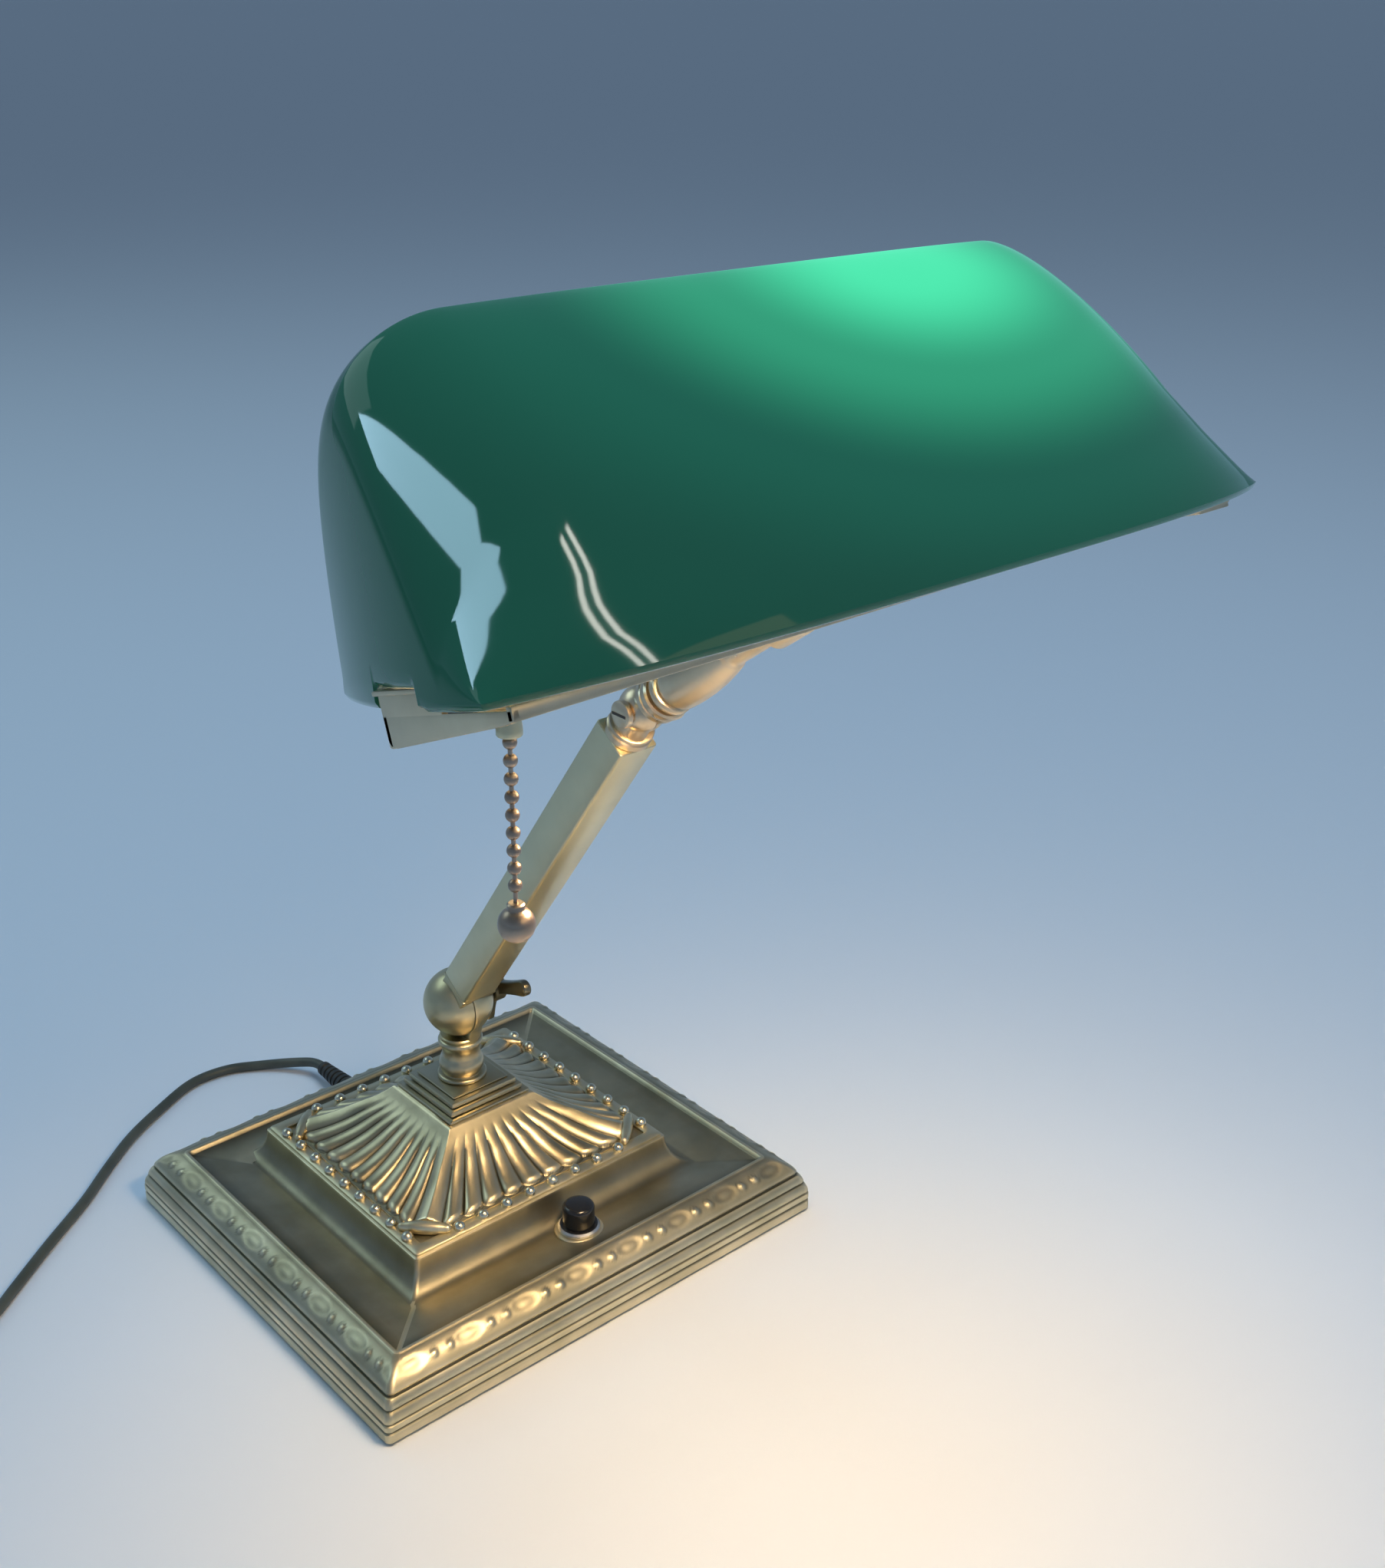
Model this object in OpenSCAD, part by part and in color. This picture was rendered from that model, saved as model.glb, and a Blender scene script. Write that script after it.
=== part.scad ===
// Desk lamp with a long glass shade on a jointed brass arm.
// Millimetres, +Z up. The origin is the centre of the base's underside; -Y is the front, where the
// switch is.

/* [Base] */
// Width of the base, left to right
base_w = 160; // [150:1:180]
// Depth of the base, front to back
base_d = 145; // [140:1:165]
// Gap under the casting's edge, where the lamp stands on its felt
edge_gap = 0.6; // [0.4:0.1:1]
// Height at which the upright wall starts to round over
wall_z = 6.5; // [5:0.5:8]
// Height of the groove line above the wall
groove_z = 13.4; // [12.5:0.1:14]
// Inset of the groove line from the wall
groove_in = 2.3; // [1.8:0.1:2.8]
// Height of the rim line at the top of the moulded edge
rim_z = 19.4; // [18.8:0.2:21]
// Inset of the rim line from the wall
rim_in = 10.4; // [9.5:0.1:11]
// Width of the rim's flat top
rim_flat = 1.2; // [0.8:0.1:1.6]
// Height of the cove just inside the rim
cove_rim_z = 18.2; // [17.8:0.1:18.4]
// Lowest height of the cove, at the foot of the platform
cove_z = 16.2; // [15.8:0.1:17]
// Width of the curve from the cove up to the platform
cove_curve = 6; // [4:0.5:8]
// Thickness of the base's cast wall
cast_t = 3.8; // [3.2:0.1:4.4]
// Thickness of the felt pad
felt_t = 1.4; // [1.2:0.1:2]
// Thickness of the bottom plate
plate_t = 1.4; // [1:0.1:2]
// Thickness of the ballast weight
ballast_t = 8.8; // [6:0.2:9]

/* [Column] */
// Place of the column, pyramid and platform behind the base's centre
column_y = 4.5; // [2:0.5:6]
// Width of the moulding and cove at the base's left and right
cove_side = 32.7; // [31:0.1:33]
// Width of the moulding and cove at the base's front and back
cove_front = 29.2; // [27.6:0.1:29.4]
// Height of the platform's top
platform_z = 25.6; // [25:0.1:27]
// Inset of the bead row from the platform's edge, at the beads' centres
bead_in = 2.8; // [2.6:0.1:4]
// Diameter of a bead
bead_d = 3; // [2.4:0.1:3.4]
// Beads along each side
bead_count = 10; // [8:1:12]
// Tongues of the pyramid along each side
flute_count = 9; // [7:1:11]
// Rise of a tongue above the valleys beside it
flute_rise = 1.7; // [1:0.1:2.2]
// Height of the pyramid's flat top
pyramid_z = 42.2; // [40:0.2:44]
// Half width of the pyramid's flat top
pyramid_top = 15.6; // [15:0.1:17]
// Hollowness of the pyramid's slope, where 1 is a straight roof
pyramid_flare = 1.55; // [1.2:0.05:1.8]
// Height of the plinth's top
plinth_z = 48; // [47:0.2:50]
// Height of the turned neck's top
neck_z = 61.8; // [60:0.2:62]
// Outside diameter of the threaded tube through the column
tube_d = 10; // [8:0.5:10]

/* [Lower knuckle] */
// Height of the arm's lower pivot
pivot_z = 74.2; // [74:0.2:80]
// Diameter of the split ball
ball_d = 21.6; // [21:0.2:22]
// Place of the ball's split, left of the middle
split_x = -1; // [-1.5:0.1:0]
// Diameter of the wing screw's shank
wing_screw_d = 5; // [4:0.2:5.6]
// Length of the wing screw's long wing
wing_len = 20; // [16:0.5:24]

/* [Arm] */
// Distance between the arm's two pivots
arm_len = 153; // [120:1:180]
// Lean of the arm towards the front, from upright
arm_lean = 35.9; // [30:0.1:40]
// Width of the square arm tube
arm_w = 12; // [11.6:0.1:12.4]
// Wall of the arm tube
arm_wall = 1.2; // [1:0.1:1.4]
// Diameter of the upper split ball
upper_ball_d = 12.4; // [12:0.1:12.8]
// Diameter of the upper pivot screw
upper_screw_d = 4; // [3.6:0.1:4.4]

/* [Stem and frame] */
// Rise of the stem towards the front, from level
stem_rise = 35.7; // [30:0.1:40]
// Length of the stem, from the upper pivot to the frame
stem_len = 63.3; // [60:0.1:80]
// Inset of the fitter frame's ends from the shade's ends
frame_in = 7.5; // [7:0.1:8.5]
// Front of the frame, behind the shade's lip
frame_front = 20; // [19:0.2:22]
// Back of the frame, behind the shade's lip
frame_back = 63; // [61:0.2:66]
// Thickness of the frame's brass strip
strip_t = 1.6; // [1.4:0.1:2]
// Height of the frame's front rail at the lampholder's end
rail_h = 3; // [2.6:0.1:3.4]
// Height of the front rail at its other end
rail_end_h = 1.3; // [1.2:0.1:2.4]
// Height of the frame's back rail, which holds the stem
back_rail_h = 6.4; // [5.6:0.1:7]

/* [Shade] */
// Tilt of the shade's open side, back edge down
shade_tilt = 18.3; // [12:0.1:24]
// Length of the shade along its front lip
shade_w = 224; // [222:0.5:226]
// Inset of the back edge's ends from the lip's ends
shade_taper = 20; // [18:0.5:21]
// Depth of the shade from lip to back edge
shade_d = 99; // [97:0.5:103]
// Height of the shade over its open side
shade_h = 69.6; // [66:0.2:76]
// Place of the shade's ridge behind the lip
shade_ridge = 54; // [50:0.5:58]
// Thickness of the cased glass
glass_t = 4; // [3:0.1:4.4]
// Setting back of the lip's two corners
lip_bow = 17; // [12:0.5:20]
// Height of the notch in each end wall
notch_h = 4.2; // [4:0.1:6]
// Width of the notch in each end wall
notch_w = 24; // [22:0.5:26]

/* [Lampholder and bulb] */
// Height of the lampholder's axis over the shade's open side
holder_h = 18; // [18:0.5:24]
// Place of the lampholder's axis behind the lip
holder_v = 44; // [43:0.5:45]
// Diameter of the lampholder's shell
holder_d = 31; // [30:0.5:32]
// Length of the lampholder with its cap
holder_len = 46; // [44:1:50]
// Diameter of the bulb
bulb_d = 29; // [26:0.5:30]
// Length of the bulb's glass
bulb_len = 95; // [80:1:105]

/* [Chain and switch] */
// Place of the pull chain, in from the frame's left end
chain_in = 14; // [13.6:0.1:14.6]
// Diameter of a chain bead
chain_bead_d = 2.8; // [2.4:0.1:3.2]
// Distance between two chain beads
chain_pitch = 3.65; // [3.4:0.05:4.4]
// Beads on the chain
chain_beads = 10; // [8:1:14]
// Diameter of the ball on the chain's end
pull_ball_d = 7.4; // [7:0.2:9]
// Place of the push button, right of the middle
button_x = 4; // [-10:1:10]
// Place of the push button, behind the base's front edge
button_in = 23.5; // [22.5:0.1:24]
// Diameter of the push button
button_d = 9.8; // [9:0.1:10]
// Height of the push button above its ring nut
button_h = 6.5; // [5.5:0.1:8]

/* [Cord] */
// Diameter of the mains cord
cord_d = 3.4; // [3.4:0.1:3.6]

/* [Hidden] */

$fn = 48;
// Clearance of a running fit, a soft fit, and between curved faces of moving pieces
running_fit = 0.05;
loose_fit = 0.3;
// Tiny overlap with which one piece's own shapes are joined
join = 0.02;
brass = [0.62, 0.5, 0.3];
dark_brass = [0.42, 0.38, 0.27];
steel = [0.6, 0.6, 0.62];

// Points from a to b on a curve that stands proud by rise, on the left of the way from a to b
function bow_point(a, b, rise, t) =
    let (way = b - a, side = [-way[1], way[0]] / norm(way))
    a + way * t + side * (4 * rise * t * (1 - t));
function bow(a, b, rise, steps) = [for (i = [0:steps]) bow_point(a, b, rise, i / steps)];
function mirrored(points) =
    concat(points, [for (i = [len(points) - 1:-1:0]) [-points[i][0], points[i][1]]]);

// A tube of one unbroken polyhedron through the path's points, each ring square to the way
function unit(v) = v / norm(v);
function way_at(path, i) =
    unit(path[min(i + 1, len(path) - 1)] - path[max(i - 1, 0)]);
function ring_at(path, i, r, sides) =
    let (
        way = way_at(path, i),
        across = unit(cross(way, [0, 0, 1])),
        up = cross(across, way)
    )
    [for (k = [0:sides - 1])
        let (a = 360 * (k + 0.5) / sides)
        path[i] + across * (r * cos(a)) + up * (r * sin(a))];
module swept_tube(path, r, sides) {
    rings = len(path);
    points = [for (i = [0:rings - 1]) each ring_at(path, i, r, sides)];
    walls = [for (i = [0:rings - 2], k = [0:sides - 1])
        let (a = i * sides + k, b = i * sides + (k + 1) % sides)
        each [[a, b, b + sides], [a, b + sides, a + sides]]];
    first = [for (k = [1:sides - 2]) [0, k + 1, k]];
    end = (rings - 1) * sides;
    last = [for (k = [1:sides - 2]) [end, end + k, end + k + 1]];
    polyhedron(points, concat(walls, first, last));
}

// Base

half_w = base_w / 2;
half_d = base_d / 2;
platform_w = base_w - 2 * cove_side;
platform_d = base_d - 2 * cove_front;
beads_w = platform_w - 2 * bead_in;
beads_d = platform_d - 2 * bead_in;
cove_in = rim_in + rim_flat;
cove_slope_end = cove_in + 16;
pocket_z = cove_z - cast_t;
roof_z = platform_z - cast_t;
plate_z = felt_t + plate_t;
boss_r = 4.5;
button_y = -half_d + button_in;
plate_screw_r = 1.5;
boss_in = cast_t + boss_r + 1;
pad_in = cast_t + loose_fit;
tube_r = tube_d / 2;
ballast_gap = 1;
washer_t = 1.2;
washer_r = 11;
tube_nut_t = 5;
tube_nut_r = 8.5;
ballast_z = roof_z - ballast_t;
tube_bottom_z = ballast_z - washer_t - tube_nut_t - 1;
tube_top_z = pivot_z - ball_d / 2 - 0.6;

// The moulded edge as an outline across the base: wall, groove, ornament band and rim
function edge_outline(half) =
    mirrored(concat(
        [[-half, edge_gap]],
        bow([-half, wall_z], [-half + groove_in, groove_z], 0.5, 5),
        [[-half + groove_in + 0.7, groove_z], [-half + groove_in + 0.7, groove_z + 0.7]],
        bow([-half + groove_in + 0.3, groove_z + 0.7], [-half + rim_in, rim_z], 1.1, 6)
    ));
// What is cut away above the cove, as an outline across the base
function cove_outline(half) =
    mirrored([
        [-half + cove_in, platform_z + 5],
        [-half + cove_in, rim_z],
        [-half + cove_in + 0.6, cove_rim_z],
        [-half + cove_slope_end, cove_z]
    ]);
// The platform and the curve at its foot, as an outline across the base
function platform_outline(half) =
    mirrored(concat(
        [[-half - cove_curve, pocket_z + 1]],
        [for (a = [0:15:90])
            [-half - cove_curve * (1 - sin(a)), platform_z - (platform_z - cove_z) * cos(a)]]
    ));

// A moulding that runs round the base, from its outline across the width and across the depth
module mitred(across_w, across_d, y = 0) {
    long = base_w * 2;
    intersection() {
        translate([0, long / 2, 0])
            rotate([90, 0, 0])
                linear_extrude(long) polygon(across_w);
        translate([-long / 2, y, 0])
            rotate([90, 0, 90])
                linear_extrude(long) polygon(across_d);
    }
}
module boss_places() {
    for (x = [-1, 1], y = [-1, 1])
        translate([x * (half_w - boss_in), y * (half_d - boss_in), 0]) children();
}
module base_casting() {
    switch_boss_r = ring_nut_r + 1.3;
    color(dark_brass)
    difference() {
        union() {
            difference() {
                mitred(edge_outline(half_w), edge_outline(half_d));
                mitred(cove_outline(half_w), cove_outline(half_d));
            }
            mitred(platform_outline(platform_w / 2), platform_outline(platform_d / 2), column_y);
            translate([button_x, button_y, pocket_z])
                cylinder(h = switch_face_z - pocket_z, r = switch_boss_r);
        }
        difference() {
            translate([-half_w + cast_t, -half_d + cast_t, -1])
                cube([base_w - 2 * cast_t, base_d - 2 * cast_t, pocket_z + 1]);
            boss_places() translate([0, 0, plate_z]) cylinder(h = pocket_z, r = boss_r);
        }
        translate([-platform_w / 2 + cast_t, column_y - platform_d / 2 + cast_t, pocket_z - 1])
            cube([platform_w - 2 * cast_t, platform_d - 2 * cast_t, roof_z - pocket_z + 1]);
        translate([0, column_y, 0]) cylinder(h = platform_z + 1, r = tube_r + running_fit);
        translate([button_x, button_y, 0]) cylinder(h = switch_face_z + 1, r = bush_r + running_fit);
        boss_places() cylinder(h = plate_screw_z + 0.5, r = plate_screw_r + running_fit);
        translate([0, half_d + 1, relief_z])
            rotate([90, 0, 0]) cylinder(h = cast_t + 2, r = relief_neck_r + running_fit);
    }
}
plate_screw_z = 10;
plate_screw_head_r = 2.9;
module felt_pad() {
    color([0.12, 0.2, 0.14])
    translate([-half_w + pad_in, -half_d + pad_in, 0])
        cube([base_w - 2 * pad_in, base_d - 2 * pad_in, felt_t]);
}
module bottom_plate() {
    color(steel)
    difference() {
        translate([-half_w + pad_in, -half_d + pad_in, felt_t])
            cube([base_w - 2 * pad_in, base_d - 2 * pad_in, plate_t]);
        boss_places() translate([0, 0, felt_t - join])
            cylinder(
                h = plate_t + 2 * join,
                r1 = plate_screw_head_r + running_fit,
                r2 = plate_screw_r + running_fit
            );
    }
}
module plate_screws() {
    color(steel)
    boss_places() translate([0, 0, felt_t]) {
        cylinder(h = plate_t, r1 = plate_screw_head_r, r2 = plate_screw_r);
        cylinder(h = plate_screw_z - felt_t, r = plate_screw_r);
    }
}
module ballast_weight() {
    in = cast_t + ballast_gap;
    color([0.25, 0.25, 0.26])
    difference() {
        translate([-platform_w / 2 + in, column_y - platform_d / 2 + in, ballast_z])
            cube([platform_w - 2 * in, platform_d - 2 * in, ballast_t]);
        translate([0, column_y, ballast_z - 1]) cylinder(h = ballast_t + 2, r = tube_r + running_fit);
    }
}
module ballast_washer() {
    color(steel)
    translate([0, column_y, ballast_z - washer_t])
        difference() {
            cylinder(h = washer_t, r = washer_r);
            translate([0, 0, -1]) cylinder(h = washer_t + 2, r = tube_r + running_fit);
        }
}
module tube_nut() {
    color(brass)
    translate([0, column_y, ballast_z - washer_t - tube_nut_t])
        difference() {
            cylinder(h = tube_nut_t, r = tube_nut_r, $fn = 6);
            translate([0, 0, -1]) cylinder(h = tube_nut_t + 2, r = tube_r + running_fit);
        }
}
module threaded_tube() {
    color(steel)
    translate([0, column_y, tube_bottom_z])
        difference() {
            cylinder(h = tube_top_z - tube_bottom_z, r = tube_r);
            translate([0, 0, -1]) cylinder(h = tube_top_z - tube_bottom_z + 2, r = tube_r - 1.6);
        }
}

// Pyramid, beads, plinth and neck

border_h = 1;
border_w = bead_d + 1;
pyramid_foot_z = platform_z;
flute_steps = 4;
pyramid_rings = 10;
// Foot of the pyramid, just inside the bead border
foot_w = beads_w / 2 - border_w / 2;
foot_d = beads_d / 2 - border_w / 2;
// Height of a tongue's crest across its width, and along its length from the rounded tip to the
// faded top
function tongue_across(s) = sqrt(max(0, 1 - pow(2 * (s - floor(s)) - 1, 2)));
function tongue_along(f) =
    let (tip = min(1, f / 0.1), top = min(1, max(0, (0.9 - f) / 0.2)))
    sqrt(1 - pow(1 - tip, 2)) * top * top * (3 - 2 * top);
function slope_z(f) =
    border_h + 0.2 + (pyramid_z - pyramid_foot_z - border_h - 0.2) * pow(f, pyramid_flare);
// One ring of the pyramid at the share f of the way from foot to top
function pyramid_ring(f) =
    let (w = foot_w + (pyramid_top - foot_w) * f, d = foot_d + (pyramid_top - foot_d) * f)
    [for (side = [0:3], k = [0:flute_count * flute_steps - 1])
        let (
            s = k / flute_steps,
            along = 2 * s / flute_count - 1,
            lift = flute_rise * tongue_across(s) * tongue_along(f),
            x = side == 0 ? along * w : side == 1 ? w : side == 2 ? -along * w : -w,
            y = side == 0 ? -d : side == 1 ? along * d : side == 2 ? d : -along * d
        )
        [x, y, pyramid_foot_z + slope_z(f) + lift]];
module fluted_pyramid() {
    per_ring = 4 * flute_count * flute_steps;
    shares = [for (i = [0:pyramid_rings]) pow(i / pyramid_rings, 1.7)];
    base_ring = [for (p = pyramid_ring(0)) [p[0], p[1], pyramid_foot_z]];
    points = concat(
        base_ring,
        [for (f = shares) each pyramid_ring(f)],
        [[0, 0, pyramid_foot_z], [0, 0, pyramid_z]]
    );
    rings = pyramid_rings + 1;
    walls = [for (i = [0:rings - 1], k = [0:per_ring - 1])
        let (a = i * per_ring + k, b = i * per_ring + (k + 1) % per_ring)
        each [[a, a + per_ring, b + per_ring], [a, b + per_ring, b]]];
    low = len(points) - 2;
    high = len(points) - 1;
    floor_faces = [for (k = [0:per_ring - 1]) [low, k, (k + 1) % per_ring]];
    top = rings * per_ring;
    roof_faces = [for (k = [0:per_ring - 1]) [high, top + (k + 1) % per_ring, top + k]];
    color(dark_brass)
    translate([0, column_y, 0])
        difference() {
            polyhedron(points, concat(walls, floor_faces, roof_faces));
            translate([0, 0, platform_z - 1])
                cylinder(h = pyramid_z - platform_z + 2, r = tube_r + running_fit);
        }
}
module bead_row(length) {
    for (i = [0:bead_count - 1])
        translate([(i + 0.5) * length / bead_count - length / 2, 0, 0]) sphere(d = bead_d, $fn = 24);
}
module bead_border() {
    color(brass)
    translate([0, column_y, platform_z])
        difference() {
            union() {
                difference() {
                    translate([-beads_w / 2 - border_w / 2, -beads_d / 2 - border_w / 2, 0])
                        cube([beads_w + border_w, beads_d + border_w, border_h]);
                    translate([-beads_w / 2 + border_w / 2, -beads_d / 2 + border_w / 2, -1])
                        cube([beads_w - border_w, beads_d - border_w, border_h + 2]);
                }
                for (y = [-1, 1])
                    translate([0, y * beads_d / 2, border_h + 0.2]) bead_row(beads_w);
                for (x = [-1, 1])
                    translate([x * beads_w / 2, 0, border_h + 0.2]) rotate([0, 0, 90]) bead_row(beads_d);
            }
            translate([-base_w / 2, -base_d / 2, -10]) cube([base_w, base_d, 10]);
        }
}
plinth_step = (plinth_z - pyramid_z) / 3;
module stepped_plinth() {
    color(dark_brass)
    translate([0, column_y, pyramid_z])
        difference() {
            union() {
                plinth_slab(0, 30, 1.2);
                plinth_slab(1.2, 26.8, plinth_step);
                plinth_slab(1.2 + plinth_step, 24.2, plinth_step);
                plinth_slab(1.2 + 2 * plinth_step, 20.6, plinth_z - pyramid_z - 1.2 - 2 * plinth_step);
            }
            translate([0, 0, -1]) cylinder(h = plinth_z - pyramid_z + 2, r = tube_r + running_fit);
        }
}
module plinth_slab(z, w, h) {
    sink = z > 0 ? join : 0;
    translate([-w / 2, -w / 2, z - sink]) cube([w, w, h + sink]);
}
neck_h = neck_z - plinth_z;
// Turned outline of the neck, as radius and height: base ring, bulb, waist and top collar
neck_outline = concat(
    [[tube_r + running_fit, 0], [7.4, 0]],
    bow([7.4, 0], [7.4, 1.4], -0.5, 4),
    [[6.1, 1.6]],
    bow([6.1, 2], [6.0, neck_h * 0.55], -0.9, 6),
    bow([6.0, neck_h * 0.58], [6.9, neck_h - 1.6], 0.5, 5),
    [[6.9, neck_h - 1.6], [6.9, neck_h - 0.5], [6.3, neck_h], [tube_r + running_fit, neck_h]]
);
module neck_column() {
    color(brass)
    translate([0, column_y, plinth_z]) rotate_extrude() polygon(neck_outline);
}

// Lower knuckle

ball_r = ball_d / 2;
wing_r = wing_screw_d / 2;
face_gap = 0.1;
side_reach = 60;
// Everything on the right of the ball's split, and everything on its left
module right_of(x) {
    translate([x, -side_reach, -side_reach]) cube([side_reach, 2 * side_reach, 2 * side_reach]);
}
module left_of(x) {
    translate([x - side_reach, -side_reach, -side_reach])
        cube([side_reach, 2 * side_reach, 2 * side_reach]);
}
module at_lower_pivot() {
    translate([0, column_y, pivot_z]) children();
}
post_h = pivot_z - neck_z;
module lower_knuckle_post() {
    color(brass)
    at_lower_pivot()
        difference() {
            union() {
                intersection() {
                    union() {
                        sphere(r = ball_r);
                        translate([0, 0, -post_h]) cylinder(h = post_h - 5, r1 = 6.2, r2 = 8.6);
                    }
                    right_of(split_x);
                }
                translate([0, 0, -post_h]) cylinder(h = post_h - ball_r - 0.3, r = 6.2);
            }
            rotate([0, 90, 0]) cylinder(h = 60, r = wing_r + running_fit, center = true);
            translate([0, 0, -post_h - 1])
                cylinder(h = tube_top_z - neck_z + 1.2, r = tube_r + running_fit);
        }
}
wing_hub_x = ball_r + loose_fit;
wing_hub_t = 4.4;
wing_hub_r = 4.6;
wing_t = 2.6;
shank_in = 3.5;
// One wing as a flat paddle from the hub: narrow waist, rounded end
module wing(length, root_w, end_w) {
    rotate([90, 0, 90])
        linear_extrude(wing_t)
            union() {
                polygon([[0, -root_w / 2], [length, -end_w / 2], [length, end_w / 2], [0, root_w / 2]]);
                translate([length, 0]) circle(d = end_w);
            }
}
module wing_screw() {
    color(dark_brass)
    at_lower_pivot() {
        translate([wing_hub_x, 0, 0]) rotate([0, 90, 0]) cylinder(h = wing_hub_t, r = wing_hub_r);
        translate([-ball_r + shank_in, 0, 0])
            rotate([0, 90, 0]) cylinder(h = wing_hub_x + ball_r - shank_in + join, r = wing_r);
        translate([wing_hub_x + wing_hub_t / 2 - wing_t / 2, 0, 0]) {
            rotate([180 - 22, 0, 0]) mirror([0, 0, 1]) wing(wing_len - 2.5, 4.2, 5);
            rotate([-74, 0, 0]) wing(12, 4.2, 3.4);
        }
    }
}

// Arm

arm_collar_t = 1.2;
arm_start = ball_r + 0.4;
tube_start = arm_start + arm_collar_t;
upper_r = upper_ball_d / 2;
collar_start = arm_len - upper_r - 4.2;
plug_w = arm_w - 2 * arm_wall - 2 * running_fit;
plug_len = 13;
lead_r = 1.5;
module along_arm() {
    at_lower_pivot() rotate([arm_lean, 0, 0]) children();
}
module square_bar(w, from, to) {
    translate([-w / 2, -w / 2, from]) cube([w, w, to - from]);
}
module arm_lower_knuckle() {
    color(brass)
    along_arm()
        difference() {
            union() {
                intersection() {
                    union() {
                        sphere(r = ball_r);
                        square_bar(arm_w - 1, 0, arm_start + join);
                    }
                    left_of(split_x - face_gap);
                }
                square_bar(arm_w, arm_start, tube_start);
                square_bar(plug_w, tube_start - join, tube_start + plug_len);
            }
            translate([-ball_r + shank_in - 0.7, 0, 0])
                rotate([0, 90, 0]) cylinder(h = 2 * ball_r, r = wing_r + running_fit);
            translate([0, 0, ball_r + 0.2]) cylinder(h = plug_len + 5, r = lead_r + running_fit);
            translate([-3.6, 0, 4]) cylinder(h = ball_r, r = lead_r + running_fit);
        }
}
module arm_tube() {
    color(brass)
    along_arm()
        difference() {
            square_bar(arm_w, tube_start, collar_start);
            square_bar(arm_w - 2 * arm_wall, tube_start - 1, collar_start + 1);
        }
}
module arm_leads() {
    color([0.15, 0.15, 0.15])
    along_arm() translate([0, 0, tube_start]) cylinder(h = collar_start - tube_start, r = lead_r);
}
module arm_top_knuckle() {
    color(brass)
    along_arm()
        difference() {
            union() {
                translate([0, 0, collar_start]) cylinder(h = 3.8, r = arm_w / 2 + 0.3);
                square_bar(plug_w, collar_start - plug_len, collar_start + join);
                intersection() {
                    translate([0, 0, arm_len]) {
                        sphere(r = upper_r);
                        translate([0, 0, -upper_r - 0.5])
                            cylinder(h = upper_r + 0.5, r = upper_r - 0.6);
                    }
                    translate([0, 0, arm_len]) left_of(-face_gap / 2);
                }
            }
            translate([0, 0, arm_len])
                rotate([0, 90, 0]) cylinder(h = 40, r = upper_screw_d / 2 + running_fit, center = true);
            translate([0, 0, collar_start - plug_len - 1])
                cylinder(h = plug_len + 3, r = lead_r + running_fit);
        }
}

// Head. The shade's own frame has its origin in the middle of the lip, v back along the open side
// and h square to it; the stem runs in it from the upper pivot to the frame's back rail.

stem_dir_v = -cos(stem_rise - shade_tilt);
stem_dir_h = sin(stem_rise - shade_tilt);
rail_top = -0.4;
frame_bottom = -7.4;
stem_end_h = frame_bottom + back_rail_h / 2 - 0.1;
pivot_v = frame_back - stem_len * stem_dir_v;
pivot_h = stem_end_h - stem_len * stem_dir_h;
hub_y = column_y - arm_len * sin(arm_lean);
hub_z = pivot_z + arm_len * cos(arm_lean);
lip_y = hub_y - pivot_v * cos(shade_tilt) - pivot_h * sin(shade_tilt);
lip_z = hub_z + pivot_v * sin(shade_tilt) - pivot_h * cos(shade_tilt);
module in_shade() {
    translate([0, lip_y, lip_z]) rotate([-shade_tilt, 0, 0]) children();
}
function shade_to_lamp(v, h) = [
    lip_y + v * cos(shade_tilt) + h * sin(shade_tilt),
    lip_z - v * sin(shade_tilt) + h * cos(shade_tilt)
];
module at_hub() {
    translate([0, hub_y, hub_z]) children();
}
// The stem's way is the local +Z
module along_stem() {
    at_hub() rotate([90 - stem_rise, 0, 0]) children();
}
stem_tube_r = 3.4;
head_boss_start = upper_r + 0.6;
head_boss_end = head_boss_start + 4.6;
spigot_len = 3;
module head_knuckle() {
    color(brass)
    along_stem()
        difference() {
            union() {
                intersection() {
                    union() {
                        sphere(r = upper_r);
                        cylinder(h = head_boss_start + join, r = upper_r - 0.6);
                    }
                    right_of(face_gap / 2);
                }
                translate([0, 0, head_boss_start]) cylinder(h = head_boss_end - head_boss_start, r = 6.5);
            }
            rotate([0, 90, 0]) cylinder(h = 40, r = upper_screw_d / 2 + running_fit, center = true);
            translate([0, 0, head_boss_end - spigot_len - 0.2])
                cylinder(h = spigot_len + 1, r = stem_tube_r + running_fit);
        }
}
thumb_nut_t = 4.8;
thumb_nut_x = upper_r + loose_fit;
screw_end_x = thumb_nut_x + thumb_nut_t + 7;
module upper_pivot_screw() {
    color(steel)
    at_hub()
        rotate([0, 90, 0]) {
            translate([0, 0, -upper_r - 1.4]) cylinder(h = 1.4 + 0.3, r = 3.6);
            translate([0, 0, -upper_r - 0.5])
                cylinder(h = screw_end_x + upper_r + 0.5, r = upper_screw_d / 2);
        }
}
module upper_thumb_nut() {
    color(brass)
    at_hub()
        translate([thumb_nut_x, 0, 0])
            rotate([0, 90, 0])
                difference() {
                    union() {
                        cylinder(h = thumb_nut_t, r = 4.6, $fn = 48);
                        cylinder(h = thumb_nut_t - 1, r = 5.4);
                    }
                    translate([0, 0, -1])
                        cylinder(h = thumb_nut_t + 2, r = upper_screw_d / 2 + running_fit);
                }
}
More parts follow.
